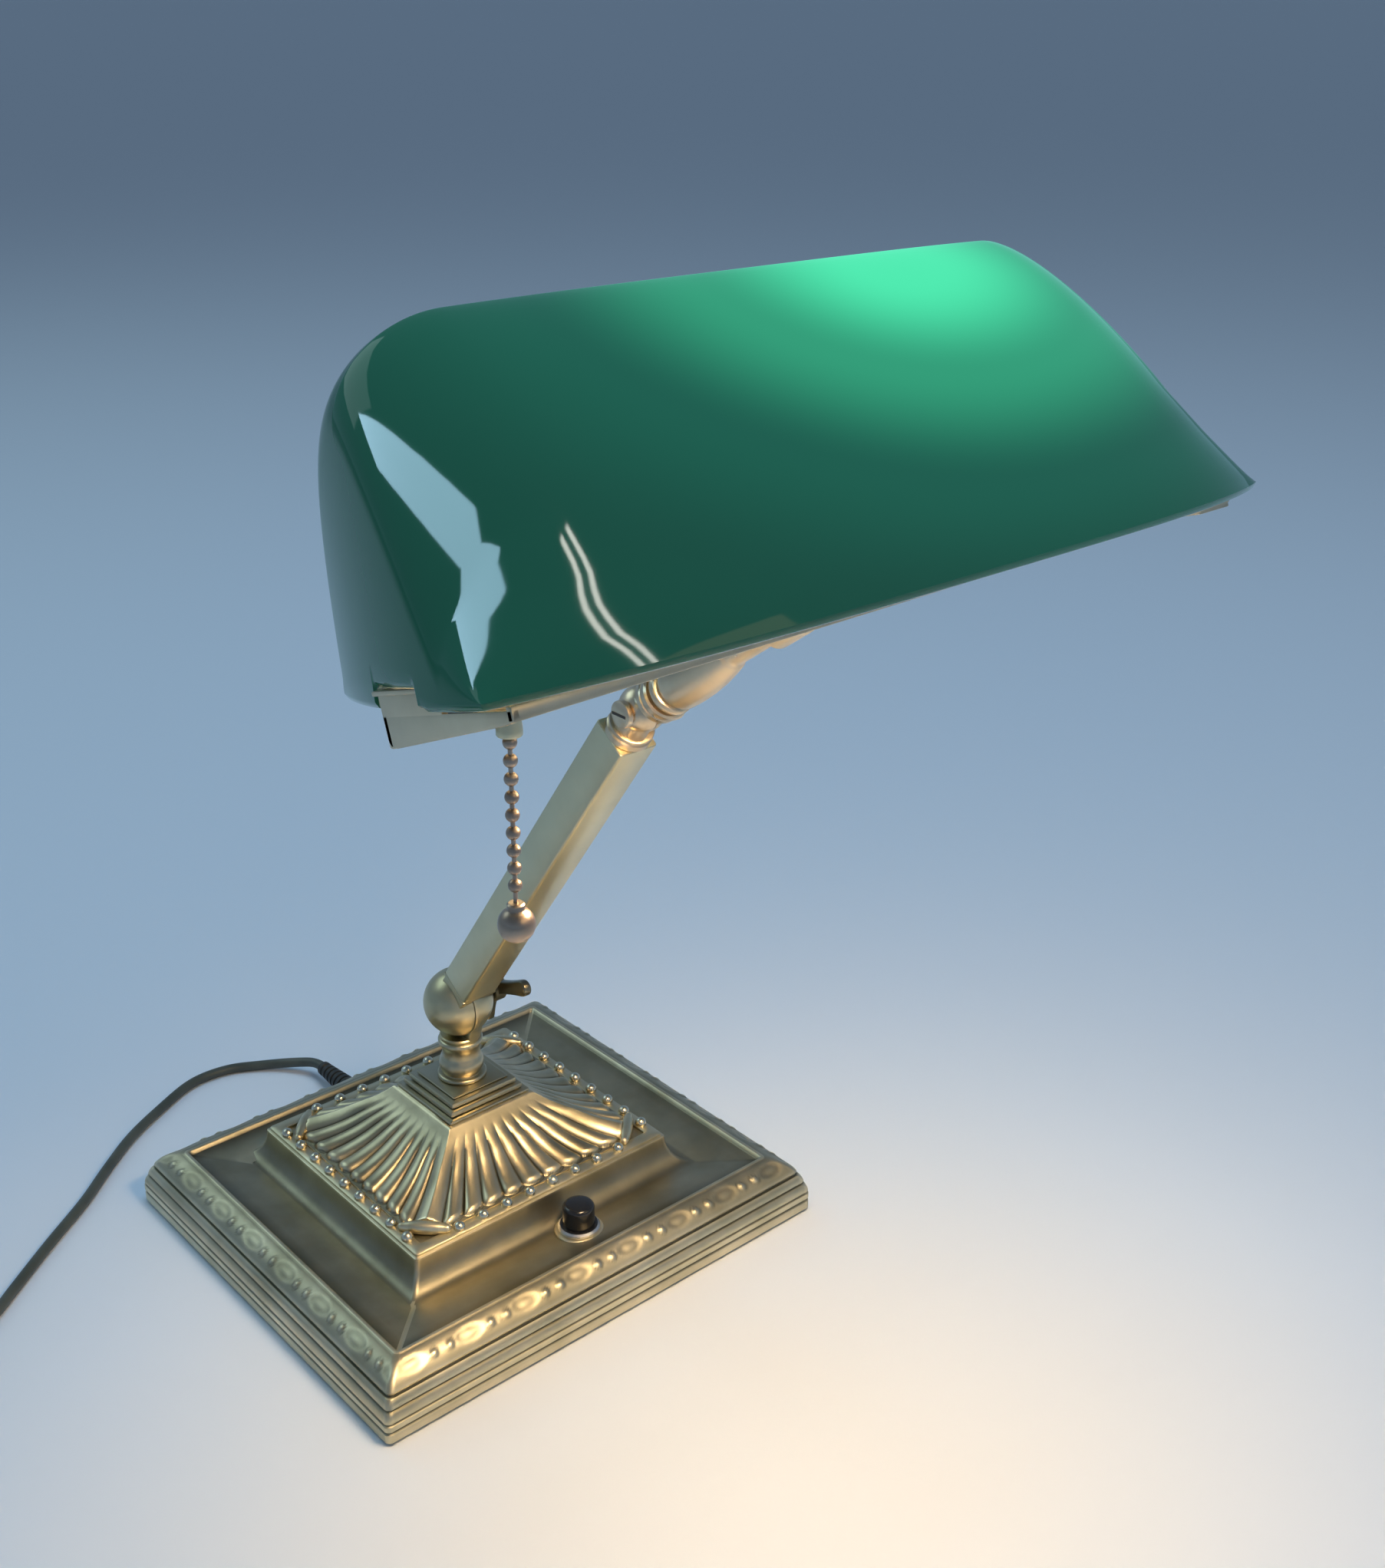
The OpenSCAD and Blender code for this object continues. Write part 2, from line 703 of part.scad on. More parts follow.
// Turned outline of the stem, as radius and distance from the upper pivot
stem_bore_r = 1.9;
stem_nut_t = 3;
nut_start = stem_len + 3.2;
stem_end = nut_start + stem_nut_t + 0.6;
saddle_s = stem_len - 7;
saddle_r = 5.2;
stem_outline = concat(
    [[stem_bore_r, head_boss_end - spigot_len], [stem_tube_r, head_boss_end - spigot_len]],
    [[stem_tube_r, head_boss_end], [4.9, head_boss_end], [4.9, head_boss_end + 0.9]],
    bow([5.3, head_boss_end + 0.9], [5.3, head_boss_end + 3.6], -0.5, 4),
    [[4.4, head_boss_end + 4.2], [6.1, head_boss_end + 5.4]],
    bow([6.3, head_boss_end + 6.2], [4.1, head_boss_end + 28], -0.8, 8),
    [[4.1, head_boss_end + 29.2], [stem_tube_r, head_boss_end + 30]],
    [[stem_tube_r, stem_end], [stem_bore_r, stem_end]]
);
module head_stem() {
    color(brass)
    along_stem() rotate_extrude() polygon(stem_outline);
}
module stem_nut() {
    color(brass)
    along_stem()
        translate([0, 0, nut_start])
            difference() {
                cylinder(h = stem_nut_t, r = 5.4, $fn = 6);
                translate([0, 0, -1]) cylinder(h = stem_nut_t + 2, r = stem_tube_r + running_fit);
            }
}

// Fitter frame

shelf_in = 12;
shelf_t = 1.5;
pad_t = 1.2;
pad_w = 4.5;
pad_len = 8;
pad_v = frame_front + 12;
shelf_z = -pad_t;
half_frame = shade_w / 2 - frame_in;
// Where the pull chain hangs, and its way out through the holder's bracket and the frame
chain_x = half_frame - chain_in;
chain_drop = 8.5;
chain_place = shade_to_lamp(holder_v, -chain_drop);
chain_y = chain_place[0];
chain_top_z = chain_place[1];
bell_top_z = chain_top_z + 13;
bell_neck_r = 2.3;
bell_bore_r = chain_bead_d / 2 + loose_fit;
bell_r = bell_bore_r + 0.8;
module at_chain(z) {
    translate([-chain_x, chain_y, z]) children();
}
module chain_bore(r) {
    at_chain(chain_top_z - 2) cylinder(h = 17, r = r);
}
chain_bore_r = bell_r + loose_fit;
// Front side of the notch in the glass, and the brass tab that stands in it
notch_v = 40.5;
tab_v = notch_v + 1.6;
tab_h = 2.6;
ledge_out = 1.2;
ledge_w = 3;
ledge_t = 1;
plate_front_h = -3.9;
far_plate_front_h = -2.4;
module end_of_frame(front_h) {
    depth = frame_back - frame_front;
    translate([half_frame - strip_t, frame_front, 0])
        rotate([90, 0, 90])
            linear_extrude(strip_t)
                polygon([
                    [0, shelf_z], [depth, shelf_z],
                    [depth, frame_bottom + 1.5], [depth - 2.5, frame_bottom],
                    [2.5, front_h], [0, front_h + 0.6]
                ]);
    translate([half_frame - shelf_in, frame_front, shelf_z - shelf_t])
        cube([shelf_in, depth, shelf_t]);
    translate([half_frame - strip_t, tab_v, shelf_z - join])
        cube([strip_t, frame_back - tab_v, tab_h - shelf_z]);
    translate([half_frame + ledge_out - ledge_w, tab_v, tab_h - ledge_t])
        cube([ledge_w, frame_back - tab_v, ledge_t]);
}
module fitter_frame() {
    color(brass)
    difference() {
        union() {
            in_shade() {
                translate([0, frame_front + strip_t, rail_top])
                    rotate([90, 0, 0])
                        linear_extrude(strip_t)
                            polygon([
                                [-half_frame, 0], [half_frame, 0],
                                [half_frame, -rail_end_h], [-half_frame, -rail_h]
                            ]);
                translate([-half_frame, frame_back - strip_t, frame_bottom])
                    cube([2 * half_frame, strip_t, back_rail_h]);
                end_of_frame(far_plate_front_h);
                mirror([1, 0, 0]) end_of_frame(plate_front_h);
            }
            along_stem()
                translate([0, 0, saddle_s]) cylinder(h = nut_start - saddle_s, r = saddle_r);
        }
        along_stem()
            translate([0, 0, saddle_s - 1])
                cylinder(h = stem_end - saddle_s, r = stem_tube_r + running_fit);
        in_shade()
            translate([-half_frame + 3, holder_v - bracket_w / 2 + 2, shelf_z - shelf_t - 1])
                cube([shelf_in - 7, bracket_w - 4, shelf_t + 2]);
        chain_bore(chain_bore_r);
    }
}
module shade_pads() {
    color([0.1, 0.1, 0.1])
    in_shade()
        for (side = [-1, 1])
            translate([side * (half_frame - pad_w / 2) - pad_w / 2, pad_v, shelf_z])
                cube([pad_w, pad_len, pad_t]);
}

// Shade

shade_back_len = shade_d - shade_ridge;
shade_back_w = shade_w - 2 * shade_taper;
front_power = 1.25;
back_power = 2.4;
bow_power = 3.5;
end_draft = 0.02;
lip_cut = 5;
// Width and drop of the shoulder at the ridge, and what each gains towards the lip
shoulder_w = 26;
shoulder_low_w = 14;
shoulder_h = 20;
shoulder_low_h = 16;
// Shares of each half section that are flat, and that end in the wall
flat_share = 1 / 3;
wall_share = 5 / 6;
shade_cols = 24;
shade_rows = 9;
notch_reach = 10;
// The glass is a dome over its open side. across runs from -1 at the left end wall to 1 at the right
// one, and climb from 0 at the lip over 90 at the ridge to 180 at the back edge; skin is the distance
// inside. Each section along the shade is flat in its middle, turns down over a shoulder and ends in
// an upright wall.
function shade_point(across, climb, skin) =
    let (
        front = skin > 0 ? lip_cut * skin / glass_t : 0,
        ridge = shade_ridge - front,
        back = shade_back_len - skin,
        rise = climb <= 90
            ? pow(sin(climb), 2 / front_power)
            : pow(sin(climb), 2 / back_power),
        v = climb <= 90
            ? front + ridge * (1 - pow(cos(climb), 2 / front_power))
            : front + ridge + back * pow(-cos(climb), 2 / back_power),
        half = (shade_w + (shade_back_w - shade_w) * v / shade_d) / 2 - skin,
        height = (shade_h - skin) * rise,
        low = 1 - height / shade_h,
        drop = min(0.92 * height, shoulder_h + shoulder_low_h * low),
        inset = shoulder_w + shoulder_low_w * low,
        share = abs(across),
        turn = 90 * min(1, max(0, (share - flat_share) / (wall_share - flat_share))),
        down = min(1, (1 - share) / (1 - wall_share)),
        x = share < flat_share
            ? (half - inset) * share / flat_share
            : half - inset * (1 - sin(turn)),
        h = (height - drop + drop * cos(turn)) * (share > wall_share ? down : 1),
        set_back = lip_bow * pow(x / half, bow_power) * (1 - v / shade_d)
    )
    [sign(across) * x * (1 - end_draft * h / shade_h), v + set_back, h];
// Two triangles between four points, cut from a to c or, where turned, from b to d
function cell(a, b, c, d, turned) = turned ? [[a, b, d], [b, c, d]] : [[a, b, c], [a, c, d]];
module glass_shell() {
    cols = shade_cols;
    rows = 2 * shade_rows;
    across = cols + 1;
    skin_points = across * (rows + 1);
    function across_at(i) = 2 * i / cols - 1;
    function climb_at(j) = 180 * j / rows;
    points = [for (skin = [0, glass_t], j = [0:rows], i = [0:cols])
        let (p = shade_point(across_at(i), climb_at(j), skin))
        (i == 0 || i == cols || j == 0 || j == rows) ? [p[0], p[1], 0] : p];
    function at(i, j, inner) = inner * skin_points + j * across + i;
    // The cut of a cell points to the nearest corner of the rim
    function turned(i, j) = (i >= cols / 2) != (j >= rows / 2);
    outer = [for (j = [0:rows - 1], i = [0:cols - 1])
        each cell(at(i, j, 0), at(i, j + 1, 0), at(i + 1, j + 1, 0), at(i + 1, j, 0), turned(i, j))];
    inner = [for (j = [0:rows - 1], i = [0:cols - 1])
        each cell(at(i, j, 1), at(i + 1, j, 1), at(i + 1, j + 1, 1), at(i, j + 1, 1), turned(i, j))];
    ends = [for (j = [0:rows - 1])
        each concat(
            cell(at(0, j, 0), at(0, j, 1), at(0, j + 1, 1), at(0, j + 1, 0), false),
            cell(at(cols, j, 0), at(cols, j + 1, 0), at(cols, j + 1, 1), at(cols, j, 1), false)
        )];
    lips = [for (i = [0:cols - 1])
        each concat(
            cell(at(i, 0, 0), at(i + 1, 0, 0), at(i + 1, 0, 1), at(i, 0, 1), false),
            cell(at(i, rows, 0), at(i, rows, 1), at(i + 1, rows, 1), at(i + 1, rows, 0), false)
        )];
    polyhedron(points, concat(outer, inner, ends, lips));
}
module glass_shade() {
    color([0.05, 0.4, 0.25, 0.85])
    in_shade()
        difference() {
            glass_shell();
            for (side = [-1, 1])
                translate([side * half_frame - notch_reach, notch_v, -1])
                    cube([2 * notch_reach, notch_w, notch_h + 1]);
        }
}

// Lampholder and bulb. Their axis runs along X, so they are turned about local Z and laid over.

bracket_x = -half_frame + 7.6;
bracket_t = 1.5;
bracket_w = 20;
bracket_top_w = 12;
bracket_top_h = holder_h + 6.4;
holder_start = bracket_x + bracket_t;
cap_len = 17;
nipple_r = 4.9;
holder_r = holder_d / 2;
module along_holder() {
    in_shade() translate([holder_start, holder_v, holder_h]) rotate([0, 90, 0]) children();
}
module holder_bracket() {
    color(steel)
    difference() {
        in_shade()
            difference() {
                union() {
                    translate([bracket_x, holder_v, 0])
                        rotate([90, 0, 90])
                            linear_extrude(bracket_t)
                                polygon([
                                    [-bracket_w / 2, shelf_z], [bracket_w / 2, shelf_z],
                                    [bracket_w / 2, holder_h / 2], [bracket_top_w / 2, holder_h * 0.8],
                                    [bracket_top_w / 2, bracket_top_h], [-bracket_top_w / 2, bracket_top_h],
                                    [-bracket_top_w / 2, holder_h * 0.8], [-bracket_w / 2, holder_h / 2]
                                ]);
                    translate([bracket_x - 0.5, holder_v - bracket_w / 2, shelf_z])
                        cube([7, bracket_w, 1.2]);
                }
                translate([bracket_x - 5, holder_v, holder_h])
                    rotate([0, 90, 0]) cylinder(h = 10, r = nipple_r + running_fit);
            }
        chain_bore(chain_bore_r);
    }
}
module holder_nut() {
    color(brass)
    along_holder()
        translate([0, 0, -bracket_t - 1.6])
            difference() {
                cylinder(h = 1.6, r = 7.5, $fn = 6);
                translate([0, 0, -1]) cylinder(h = 4, r = nipple_r + running_fit);
            }
}
cap_outline = concat(
    [[0, -bracket_t - 1.7], [nipple_r, -bracket_t - 1.7], [nipple_r, 0], [8.5, 0], [8.5, 1.2]],
    bow([9.2, 1.6], [holder_r, 10], -2.2, 8),
    [[holder_r, cap_len], [holder_r - 1.2, cap_len], [holder_r - 1.2, 11], [8, 3.4], [0, 3.4]]
);
module holder_cap() {
    color(brass)
    difference() {
        along_holder() rotate_extrude() polygon(cap_outline);
        chain_bore(bell_neck_r + running_fit);
        along_holder() translate([0, 0, -10]) cylinder(h = 20, r = 2.2);
    }
}
module holder_shell() {
    color(brass)
    along_holder()
        rotate_extrude()
            difference() {
                union() {
                    translate([holder_r - 1, cap_len]) square([1, holder_len - cap_len]);
                    translate([holder_r - 0.4, cap_len + 2.2]) circle(r = 1.1);
                    translate([holder_r - 0.4, holder_len - 1.2]) circle(r = 1.1);
                }
                square([holder_r - 1, holder_len + 2]);
            }
}
core_r = holder_r - 1.5;
screw_shell_r = 13.4;
module holder_core() {
    color([0.9, 0.88, 0.82])
    along_holder()
        difference() {
            translate([0, 0, cap_len + 0.3]) cylinder(h = 27, r = core_r);
            translate([0, 0, cap_len + 6]) cylinder(h = 60, r = screw_shell_r);
        }
}
bulb_cap_r = 13;
bulb_cap_start = cap_len + 6.2;
bulb_cap_len = 24;
bulb_r = bulb_d / 2;
module bulb_cap() {
    color(steel)
    along_holder()
        translate([0, 0, bulb_cap_start])
            rotate_extrude()
                polygon(concat(
                    [[0, 0], [4.5, 0], [5, 1.6]],
                    [[9, 3.5], [bulb_cap_r, 5]],
                    [for (i = [0:4]) each [[bulb_cap_r, 6 + i * 3.2], [bulb_cap_r - 0.8, 7.6 + i * 3.2]]],
                    [[bulb_cap_r, 22], [bulb_cap_r, bulb_cap_len], [0, bulb_cap_len]]
                ));
}
module bulb_glass() {
    start = bulb_cap_start + bulb_cap_len;
    color([0.95, 0.93, 0.85])
    along_holder()
        translate([0, 0, start])
            rotate_extrude()
                polygon(concat(
                    [[0, 0], [12.6, 0]],
                    bow([12.6, 1], [bulb_r, 6], -0.5, 4),
                    [for (a = [0:10:90])
                        [bulb_r * cos(a), bulb_len - bulb_r + bulb_r * sin(a)]]
                ));
}

// Pull chain. It hangs straight down from its bell under the lampholder's cap.

link_r = 0.5;
module chain_bell() {
    color(brass)
    at_chain(chain_top_z)
        rotate_extrude()
            polygon([
                [bell_bore_r, 0], [bell_r, 0], [bell_r - 0.2, 1.4],
                [bell_neck_r, 4.5], [bell_neck_r, bell_top_z - chain_top_z],
                [bell_bore_r, bell_top_z - chain_top_z]
            ]);
}
chain_start_z = chain_top_z + chain_pitch * 0.6;
chain_end_z = chain_start_z - chain_beads * chain_pitch;
module pull_chain() {
    color([0.5, 0.42, 0.34])
    union() {
        for (i = [0:chain_beads - 1])
            at_chain(chain_start_z - i * chain_pitch) sphere(d = chain_bead_d, $fn = 24);
        at_chain(chain_end_z) cylinder(h = chain_start_z - chain_end_z, r = link_r, $fn = 16);
    }
}
module chain_ball() {
    collar_h = 1.4;
    color([0.5, 0.4, 0.3])
    at_chain(chain_end_z - collar_h) {
        cylinder(h = collar_h, r = 1.7);
        translate([0, 0, -pull_ball_d / 2 + 0.5]) sphere(d = pull_ball_d);
    }
}

// Push button switch, through the cove's floor

switch_face_z = 17.6;
ring_nut_r = 6.2;
ring_nut_t = 2.2;
bush_r = 5.7;
button_r = button_d / 2;
switch_top_z = switch_face_z + ring_nut_t;
button_travel = 2.5;
button_foot_z = switch_top_z - 4;
module at_button() {
    translate([button_x, button_y, 0]) children();
}
module switch_body() {
    color([0.12, 0.12, 0.12])
    at_button()
        difference() {
            union() {
                translate([-9, -9, plate_z + 1.4]) cube([18, 18, pocket_z - plate_z - 1.4]);
                translate([0, 0, pocket_z - join]) cylinder(h = switch_top_z - 0.5 - pocket_z, r = bush_r);
            }
            translate([0, 0, button_foot_z - button_travel - 0.4])
                cylinder(h = 12, r = button_r + running_fit);
        }
}
module switch_ring_nut() {
    color(steel)
    at_button()
        translate([0, 0, switch_face_z])
            difference() {
                cylinder(h = ring_nut_t - 0.7, r = ring_nut_r + 0.2);
                translate([0, 0, -1]) cylinder(h = 10, r = bush_r + running_fit);
            }
}
module switch_button() {
    color([0.06, 0.06, 0.06])
    at_button()
        translate([0, 0, button_foot_z])
            rotate_extrude()
                polygon(concat(
                    [[0, 0], [button_r, 0]],
                    [for (a = [0:15:90])
                        [button_r - 1.2 + 1.2 * cos(a), 4 + button_h - 1.2 + 1.2 * sin(a)]],
                    [[0, 4 + button_h + 0.3]]
                ));
}

// Cord. It leaves the back of the base, runs over the floor to the left and ends in a coil with its plug.

cord_r = cord_d / 2;
cord_floor_z = 1.75;
relief_z = 6;
relief_len = 22;
relief_neck_r = 4;
relief_y = half_d + relief_len;
// Points of the cord's way, chosen by hand
cord_route = [
    [0, 94.5, 6], [0, 98, 5.8], [-1, 102, 5.1], [-4, 107, 3.9], [-8, 112, 2.7], [-14, 117, 1.9],
    [-22, 121.5, 1.75], [-31, 123, 1.75], [-40, 121.5, 1.75], [-52, 115.5, 1.75], [-68, 106, 1.75],
    [-82, 94.5, 1.75], [-96, 82, 1.75], [-113, 69, 1.75], [-128, 57, 1.75], [-139, 48, 1.75],
    [-150, 40, 1.75], [-159, 34, 1.75], [-165.5, 30.4, 1.75]
];
coil_x = -180;
coil_y = 52;
coil_outer_r = 26;
coil_start = -56;
coil_end = -180 - 12 * 360;
coil_pitch = 3.9;
coil_layers = 4;
loop_rings = 24;
layer_turns = (coil_start - coil_end) / 360 / coil_layers;
coil_inner_r = coil_outer_r - coil_pitch * layer_turns;
// Share of the way inwards, 0 at the outer turn and 1 at the inner one, after t layers
function inward(t) = let (k = floor(t), f = t - k) (k % 2 == 0 ? f : 1 - f);
// Height in layers: level along each layer, with a climb in the half turn round each reversal
function layer_height(t) =
    let (
        near = round(t),
        climb = 0.25 / layer_turns,
        share = (t - near + climb) / (2 * climb)
    )
    (near <= 0 || near >= coil_layers) ? min(coil_layers - 1, max(0, near - (near > 0 ? 1 : 0)))
        : near - 1 + min(1, max(0, share));
function coil_point(t) =
    let (
        a = coil_start + (coil_end - coil_start) * t / coil_layers,
        r = coil_outer_r + (coil_inner_r - coil_outer_r) * inward(t)
    )
    [coil_x + r * cos(a), coil_y + r * sin(a), cord_floor_z + coil_pitch * layer_height(t)];
coil_steps = round(layer_turns * coil_layers * loop_rings);
coil_way = [for (i = [0:coil_steps]) coil_point(i * coil_layers / coil_steps)];
// A short straight piece ends the coil, so that the tail leaves it squarely
coil_path = concat(coil_way, [coil_way[coil_steps] + [0, 0.6, 0]]);
// Least distance between points of the coil that lie half a turn or more apart, less one diameter
coil_gap = min([for (i = [0:2:coil_steps], j = [i + loop_rings / 2:1:coil_steps])
    norm(coil_way[i] - coil_way[j])]) - cord_d;
echo(coil_gap = coil_gap);
// A smooth way through the route's points
function route_point(p, i, t) =
    let (
        last = len(p) - 1,
        a = p[max(i - 1, 0)],
        b = p[i],
        c = p[i + 1],
        d = p[min(i + 2, last)]
    )
    0.5 * (2 * b + (c - a) * t + (2 * a - 5 * b + 4 * c - d) * t * t
        + (3 * b - a - 3 * c + d) * t * t * t);
route_steps = 3;
cord_path = concat(
    [for (i = [0:len(cord_route) - 2], k = [0:route_steps - 1])
        route_point(cord_route, i, k / route_steps)],
    [coil_path[0]]
);
tail_start = coil_path[coil_steps + 1];
plug_z = 7.2;
tail_route = [
    tail_start, tail_start + [0, 4, 0], tail_start + [0, 14, -1.4],
    tail_start + [0, 25, -4.8], [tail_start[0], tail_start[1] + 33, plug_z],
    [tail_start[0], tail_start[1] + 36, plug_z]
];
plug_y = tail_start[1] + 36;
tail_path = concat(
    [for (i = [0:len(tail_route) - 2], k = [0:1]) route_point(tail_route, i, k / 2)],
    [tail_route[len(tail_route) - 1]]
);
function sum(list, i = 0) = i < len(list) ? list[i] + sum(list, i + 1) : 0;
function path_length(p) = sum([for (i = [1:len(p) - 1]) norm(p[i] - p[i - 1])]);
echo(cord_length = path_length(cord_path) + path_length(coil_path) + path_length(tail_path));
cord_color = [0.22, 0.24, 0.2];
module cord_run() {
    color(cord_color) swept_tube(cord_path, cord_r, 8);
}
module cord_coil() {
    color(cord_color) swept_tube(coil_path, cord_r, 6);
}
module cord_tail() {
    color(cord_color) swept_tube(tail_path, cord_r, 8);
}
module strain_relief() {
    color([0.1, 0.1, 0.1])
    difference() {
        translate([0, half_d, relief_z])
            rotate([-90, 0, 0])
                rotate_extrude()
                    polygon([
                        [0, -cast_t - 2], [5.4, -cast_t - 2], [5.4, -cast_t], [relief_neck_r, -cast_t],
                        [relief_neck_r, 0.1], [4.9, 0.1], [4.9, 1.8], [3.9, 2.4],
                        [2.5, relief_len], [0, relief_len]
                    ]);
        // The inner flange is flat below, clear of the bottom plate
        translate([-8, half_d - cast_t - 4, -1]) cube([16, 4, plate_z + loose_fit + 1]);
    }
}
tie_w = 4;
tie_t = 0.9;
module cord_tie() {
    mid_r = (coil_outer_r + coil_inner_r) / 2;
    in_w = coil_outer_r - coil_inner_r + cord_d + 2 * loose_fit;
    top = cord_floor_z + coil_pitch * (coil_layers - 1) + cord_r + loose_fit;
    color([0.08, 0.08, 0.08])
    translate([coil_x, coil_y, 0])
        rotate([0, 0, 60])
            translate([mid_r, tie_w / 2, 0])
                rotate([90, 0, 0])
                    linear_extrude(tie_w)
                        difference() {
                            translate([-in_w / 2 - tie_t, 0]) square([in_w + 2 * tie_t, top + tie_t]);
                            translate([-in_w / 2, -1]) square([in_w, top + 1]);
                        }
}
plug_len_y = 36;
plug_w1 = 10;
plug_w2 = 26;
plug_h = 13.4;
pin_pitch = 18.6;
module plug_body() {
    color([0.1, 0.1, 0.1])
    translate([tail_start[0], plug_y, plug_z - plug_h / 2])
        difference() {
            linear_extrude(plug_h)
                polygon(concat(
                    [[-plug_w1 / 2, 0], [plug_w1 / 2, 0]],
                    bow([plug_w1 / 2 + 0.5, 4], [plug_w2 / 2, plug_len_y - 8], 1, 6),
                    [[plug_w2 / 2, plug_len_y], [-plug_w2 / 2, plug_len_y]],
                    bow([-plug_w2 / 2, plug_len_y - 8], [-plug_w1 / 2 - 0.5, 4], 1, 6)
                ));
            for (x = [-1, 1])
                translate([x * pin_pitch / 2, plug_len_y - 6, plug_h / 2])
                    rotate([-90, 0, 0]) cylinder(h = 7, r = 2.05);
        }
}
module plug_pins() {
    color(steel)
    for (x = [-1, 1])
        translate([tail_start[0] + x * pin_pitch / 2, plug_y + plug_len_y - 6, plug_z])
            rotate([-90, 0, 0]) {
                cylinder(h = 23.5, r = 2);
                translate([0, 0, 23.5]) sphere(r = 2);
            }
}

felt_pad();
bottom_plate();
plate_screws();
base_casting();
ballast_weight();
ballast_washer();
tube_nut();
threaded_tube();
fluted_pyramid();
bead_border();
stepped_plinth();
neck_column();
lower_knuckle_post();
switch_body();
switch_ring_nut();
switch_button();
wing_screw();
arm_lower_knuckle();
arm_tube();
arm_top_knuckle();
arm_leads();
head_knuckle();
upper_pivot_screw();
upper_thumb_nut();
head_stem();
stem_nut();
fitter_frame();
shade_pads();
glass_shade();
holder_bracket();
holder_nut();
holder_cap();
holder_shell();
holder_core();
bulb_cap();
bulb_glass();
chain_bell();
pull_chain();
chain_ball();
strain_relief();
cord_run();
cord_coil();
cord_tail();
cord_tie();
plug_body();
plug_pins();
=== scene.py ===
import math

import bmesh
import bpy
from mathutils import Matrix, Vector


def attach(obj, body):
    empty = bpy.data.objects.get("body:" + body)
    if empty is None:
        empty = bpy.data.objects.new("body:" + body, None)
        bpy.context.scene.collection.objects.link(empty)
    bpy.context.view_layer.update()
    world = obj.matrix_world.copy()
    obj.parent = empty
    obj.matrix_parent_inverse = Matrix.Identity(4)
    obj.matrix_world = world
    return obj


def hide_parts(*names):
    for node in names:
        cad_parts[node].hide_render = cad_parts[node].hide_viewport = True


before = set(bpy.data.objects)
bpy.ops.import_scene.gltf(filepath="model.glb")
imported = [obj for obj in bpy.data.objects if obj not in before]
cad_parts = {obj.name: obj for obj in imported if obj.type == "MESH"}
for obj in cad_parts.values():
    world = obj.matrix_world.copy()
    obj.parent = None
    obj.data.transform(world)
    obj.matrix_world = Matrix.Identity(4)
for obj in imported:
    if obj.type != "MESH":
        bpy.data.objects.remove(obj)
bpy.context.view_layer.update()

# Camera. It stands in front of the lamp, to the left and above it, as the photographer did.
# Its turn, height and lens come from the edges of the base.
mm = 0.001
camera_turn = math.radians(-41.53)
camera_height = math.radians(23.83)
camera_roll = math.radians(0.38)
to_camera = Vector((
    math.sin(camera_turn) * math.cos(camera_height),
    -math.cos(camera_turn) * math.cos(camera_height),
    math.sin(camera_height),
))
level_right = Vector((math.cos(camera_turn), math.sin(camera_turn), 0))
level_up = to_camera.cross(level_right)
camera_right = math.cos(camera_roll) * level_right + math.sin(camera_roll) * level_up
camera_up = math.cos(camera_roll) * level_up - math.sin(camera_roll) * level_right
camera_data = bpy.data.cameras.new("camera")
camera_data.sensor_fit = "HORIZONTAL"
camera_data.sensor_width = 36
camera_data.lens = 46.98
camera_data.clip_start = 0.01
camera_data.clip_end = 2000
camera = bpy.data.objects.new("camera", camera_data)
bpy.context.collection.objects.link(camera)
camera.matrix_world = Matrix.Translation((-0.2670, -0.4055, 0.3617)) @ Matrix((
    camera_right, camera_up, to_camera
)).transposed().to_4x4()
bpy.context.scene.camera = camera
bpy.context.scene.view_settings.view_transform = "Standard"

# Mains cord. A round two-core flex with a dark grey-green PVC jacket, 3.4 mm thick and 1.79 m long.
# It leaves the back of the base, lies on the table and ends in a wound and tied coil with a plug.
cord_diameter = 3.4
cord_floor = 1.75
cord_route = [
    (0, 94.5, 6), (0, 98, 5.8), (-1, 102, 5.1), (-4, 107, 3.9), (-8, 112, 2.7), (-14, 117, 1.9),
    (-22, 121.5, 1.75), (-31, 123, 1.75), (-40, 121.5, 1.75), (-52, 115.5, 1.75),
    (-68, 106, 1.75), (-82, 94.5, 1.75), (-96, 82, 1.75), (-113, 69, 1.75), (-128, 57, 1.75),
    (-139, 48, 1.75), (-150, 40, 1.75), (-159, 34, 1.75), (-165.5, 30.4, 1.75),
]
coil_centre = Vector((-180, 52, 0))
coil_outer = 26
coil_pitch = 3.9
coil_layers = 4
coil_first = -56
coil_last = -180 - 12 * 360
coil_turns = (coil_first - coil_last) / 360
coil_inner = coil_outer - coil_pitch * coil_turns / coil_layers


def smooth_way(points, steps):
    """Points of one smooth curve through the given ones."""
    points = [Vector(p) for p in points]
    way = []
    for i in range(len(points) - 1):
        a, b, c, d = (points[min(max(i + k, 0), len(points) - 1)] for k in (-1, 0, 1, 2))
        for k in range(steps):
            t = k / steps
            way.append(0.5 * (
                2 * b + (c - a) * t + (2 * a - 5 * b + 4 * c - d) * t ** 2
                + (3 * b - a - 3 * c + d) * t ** 3
            ))
    return way + [points[-1]]


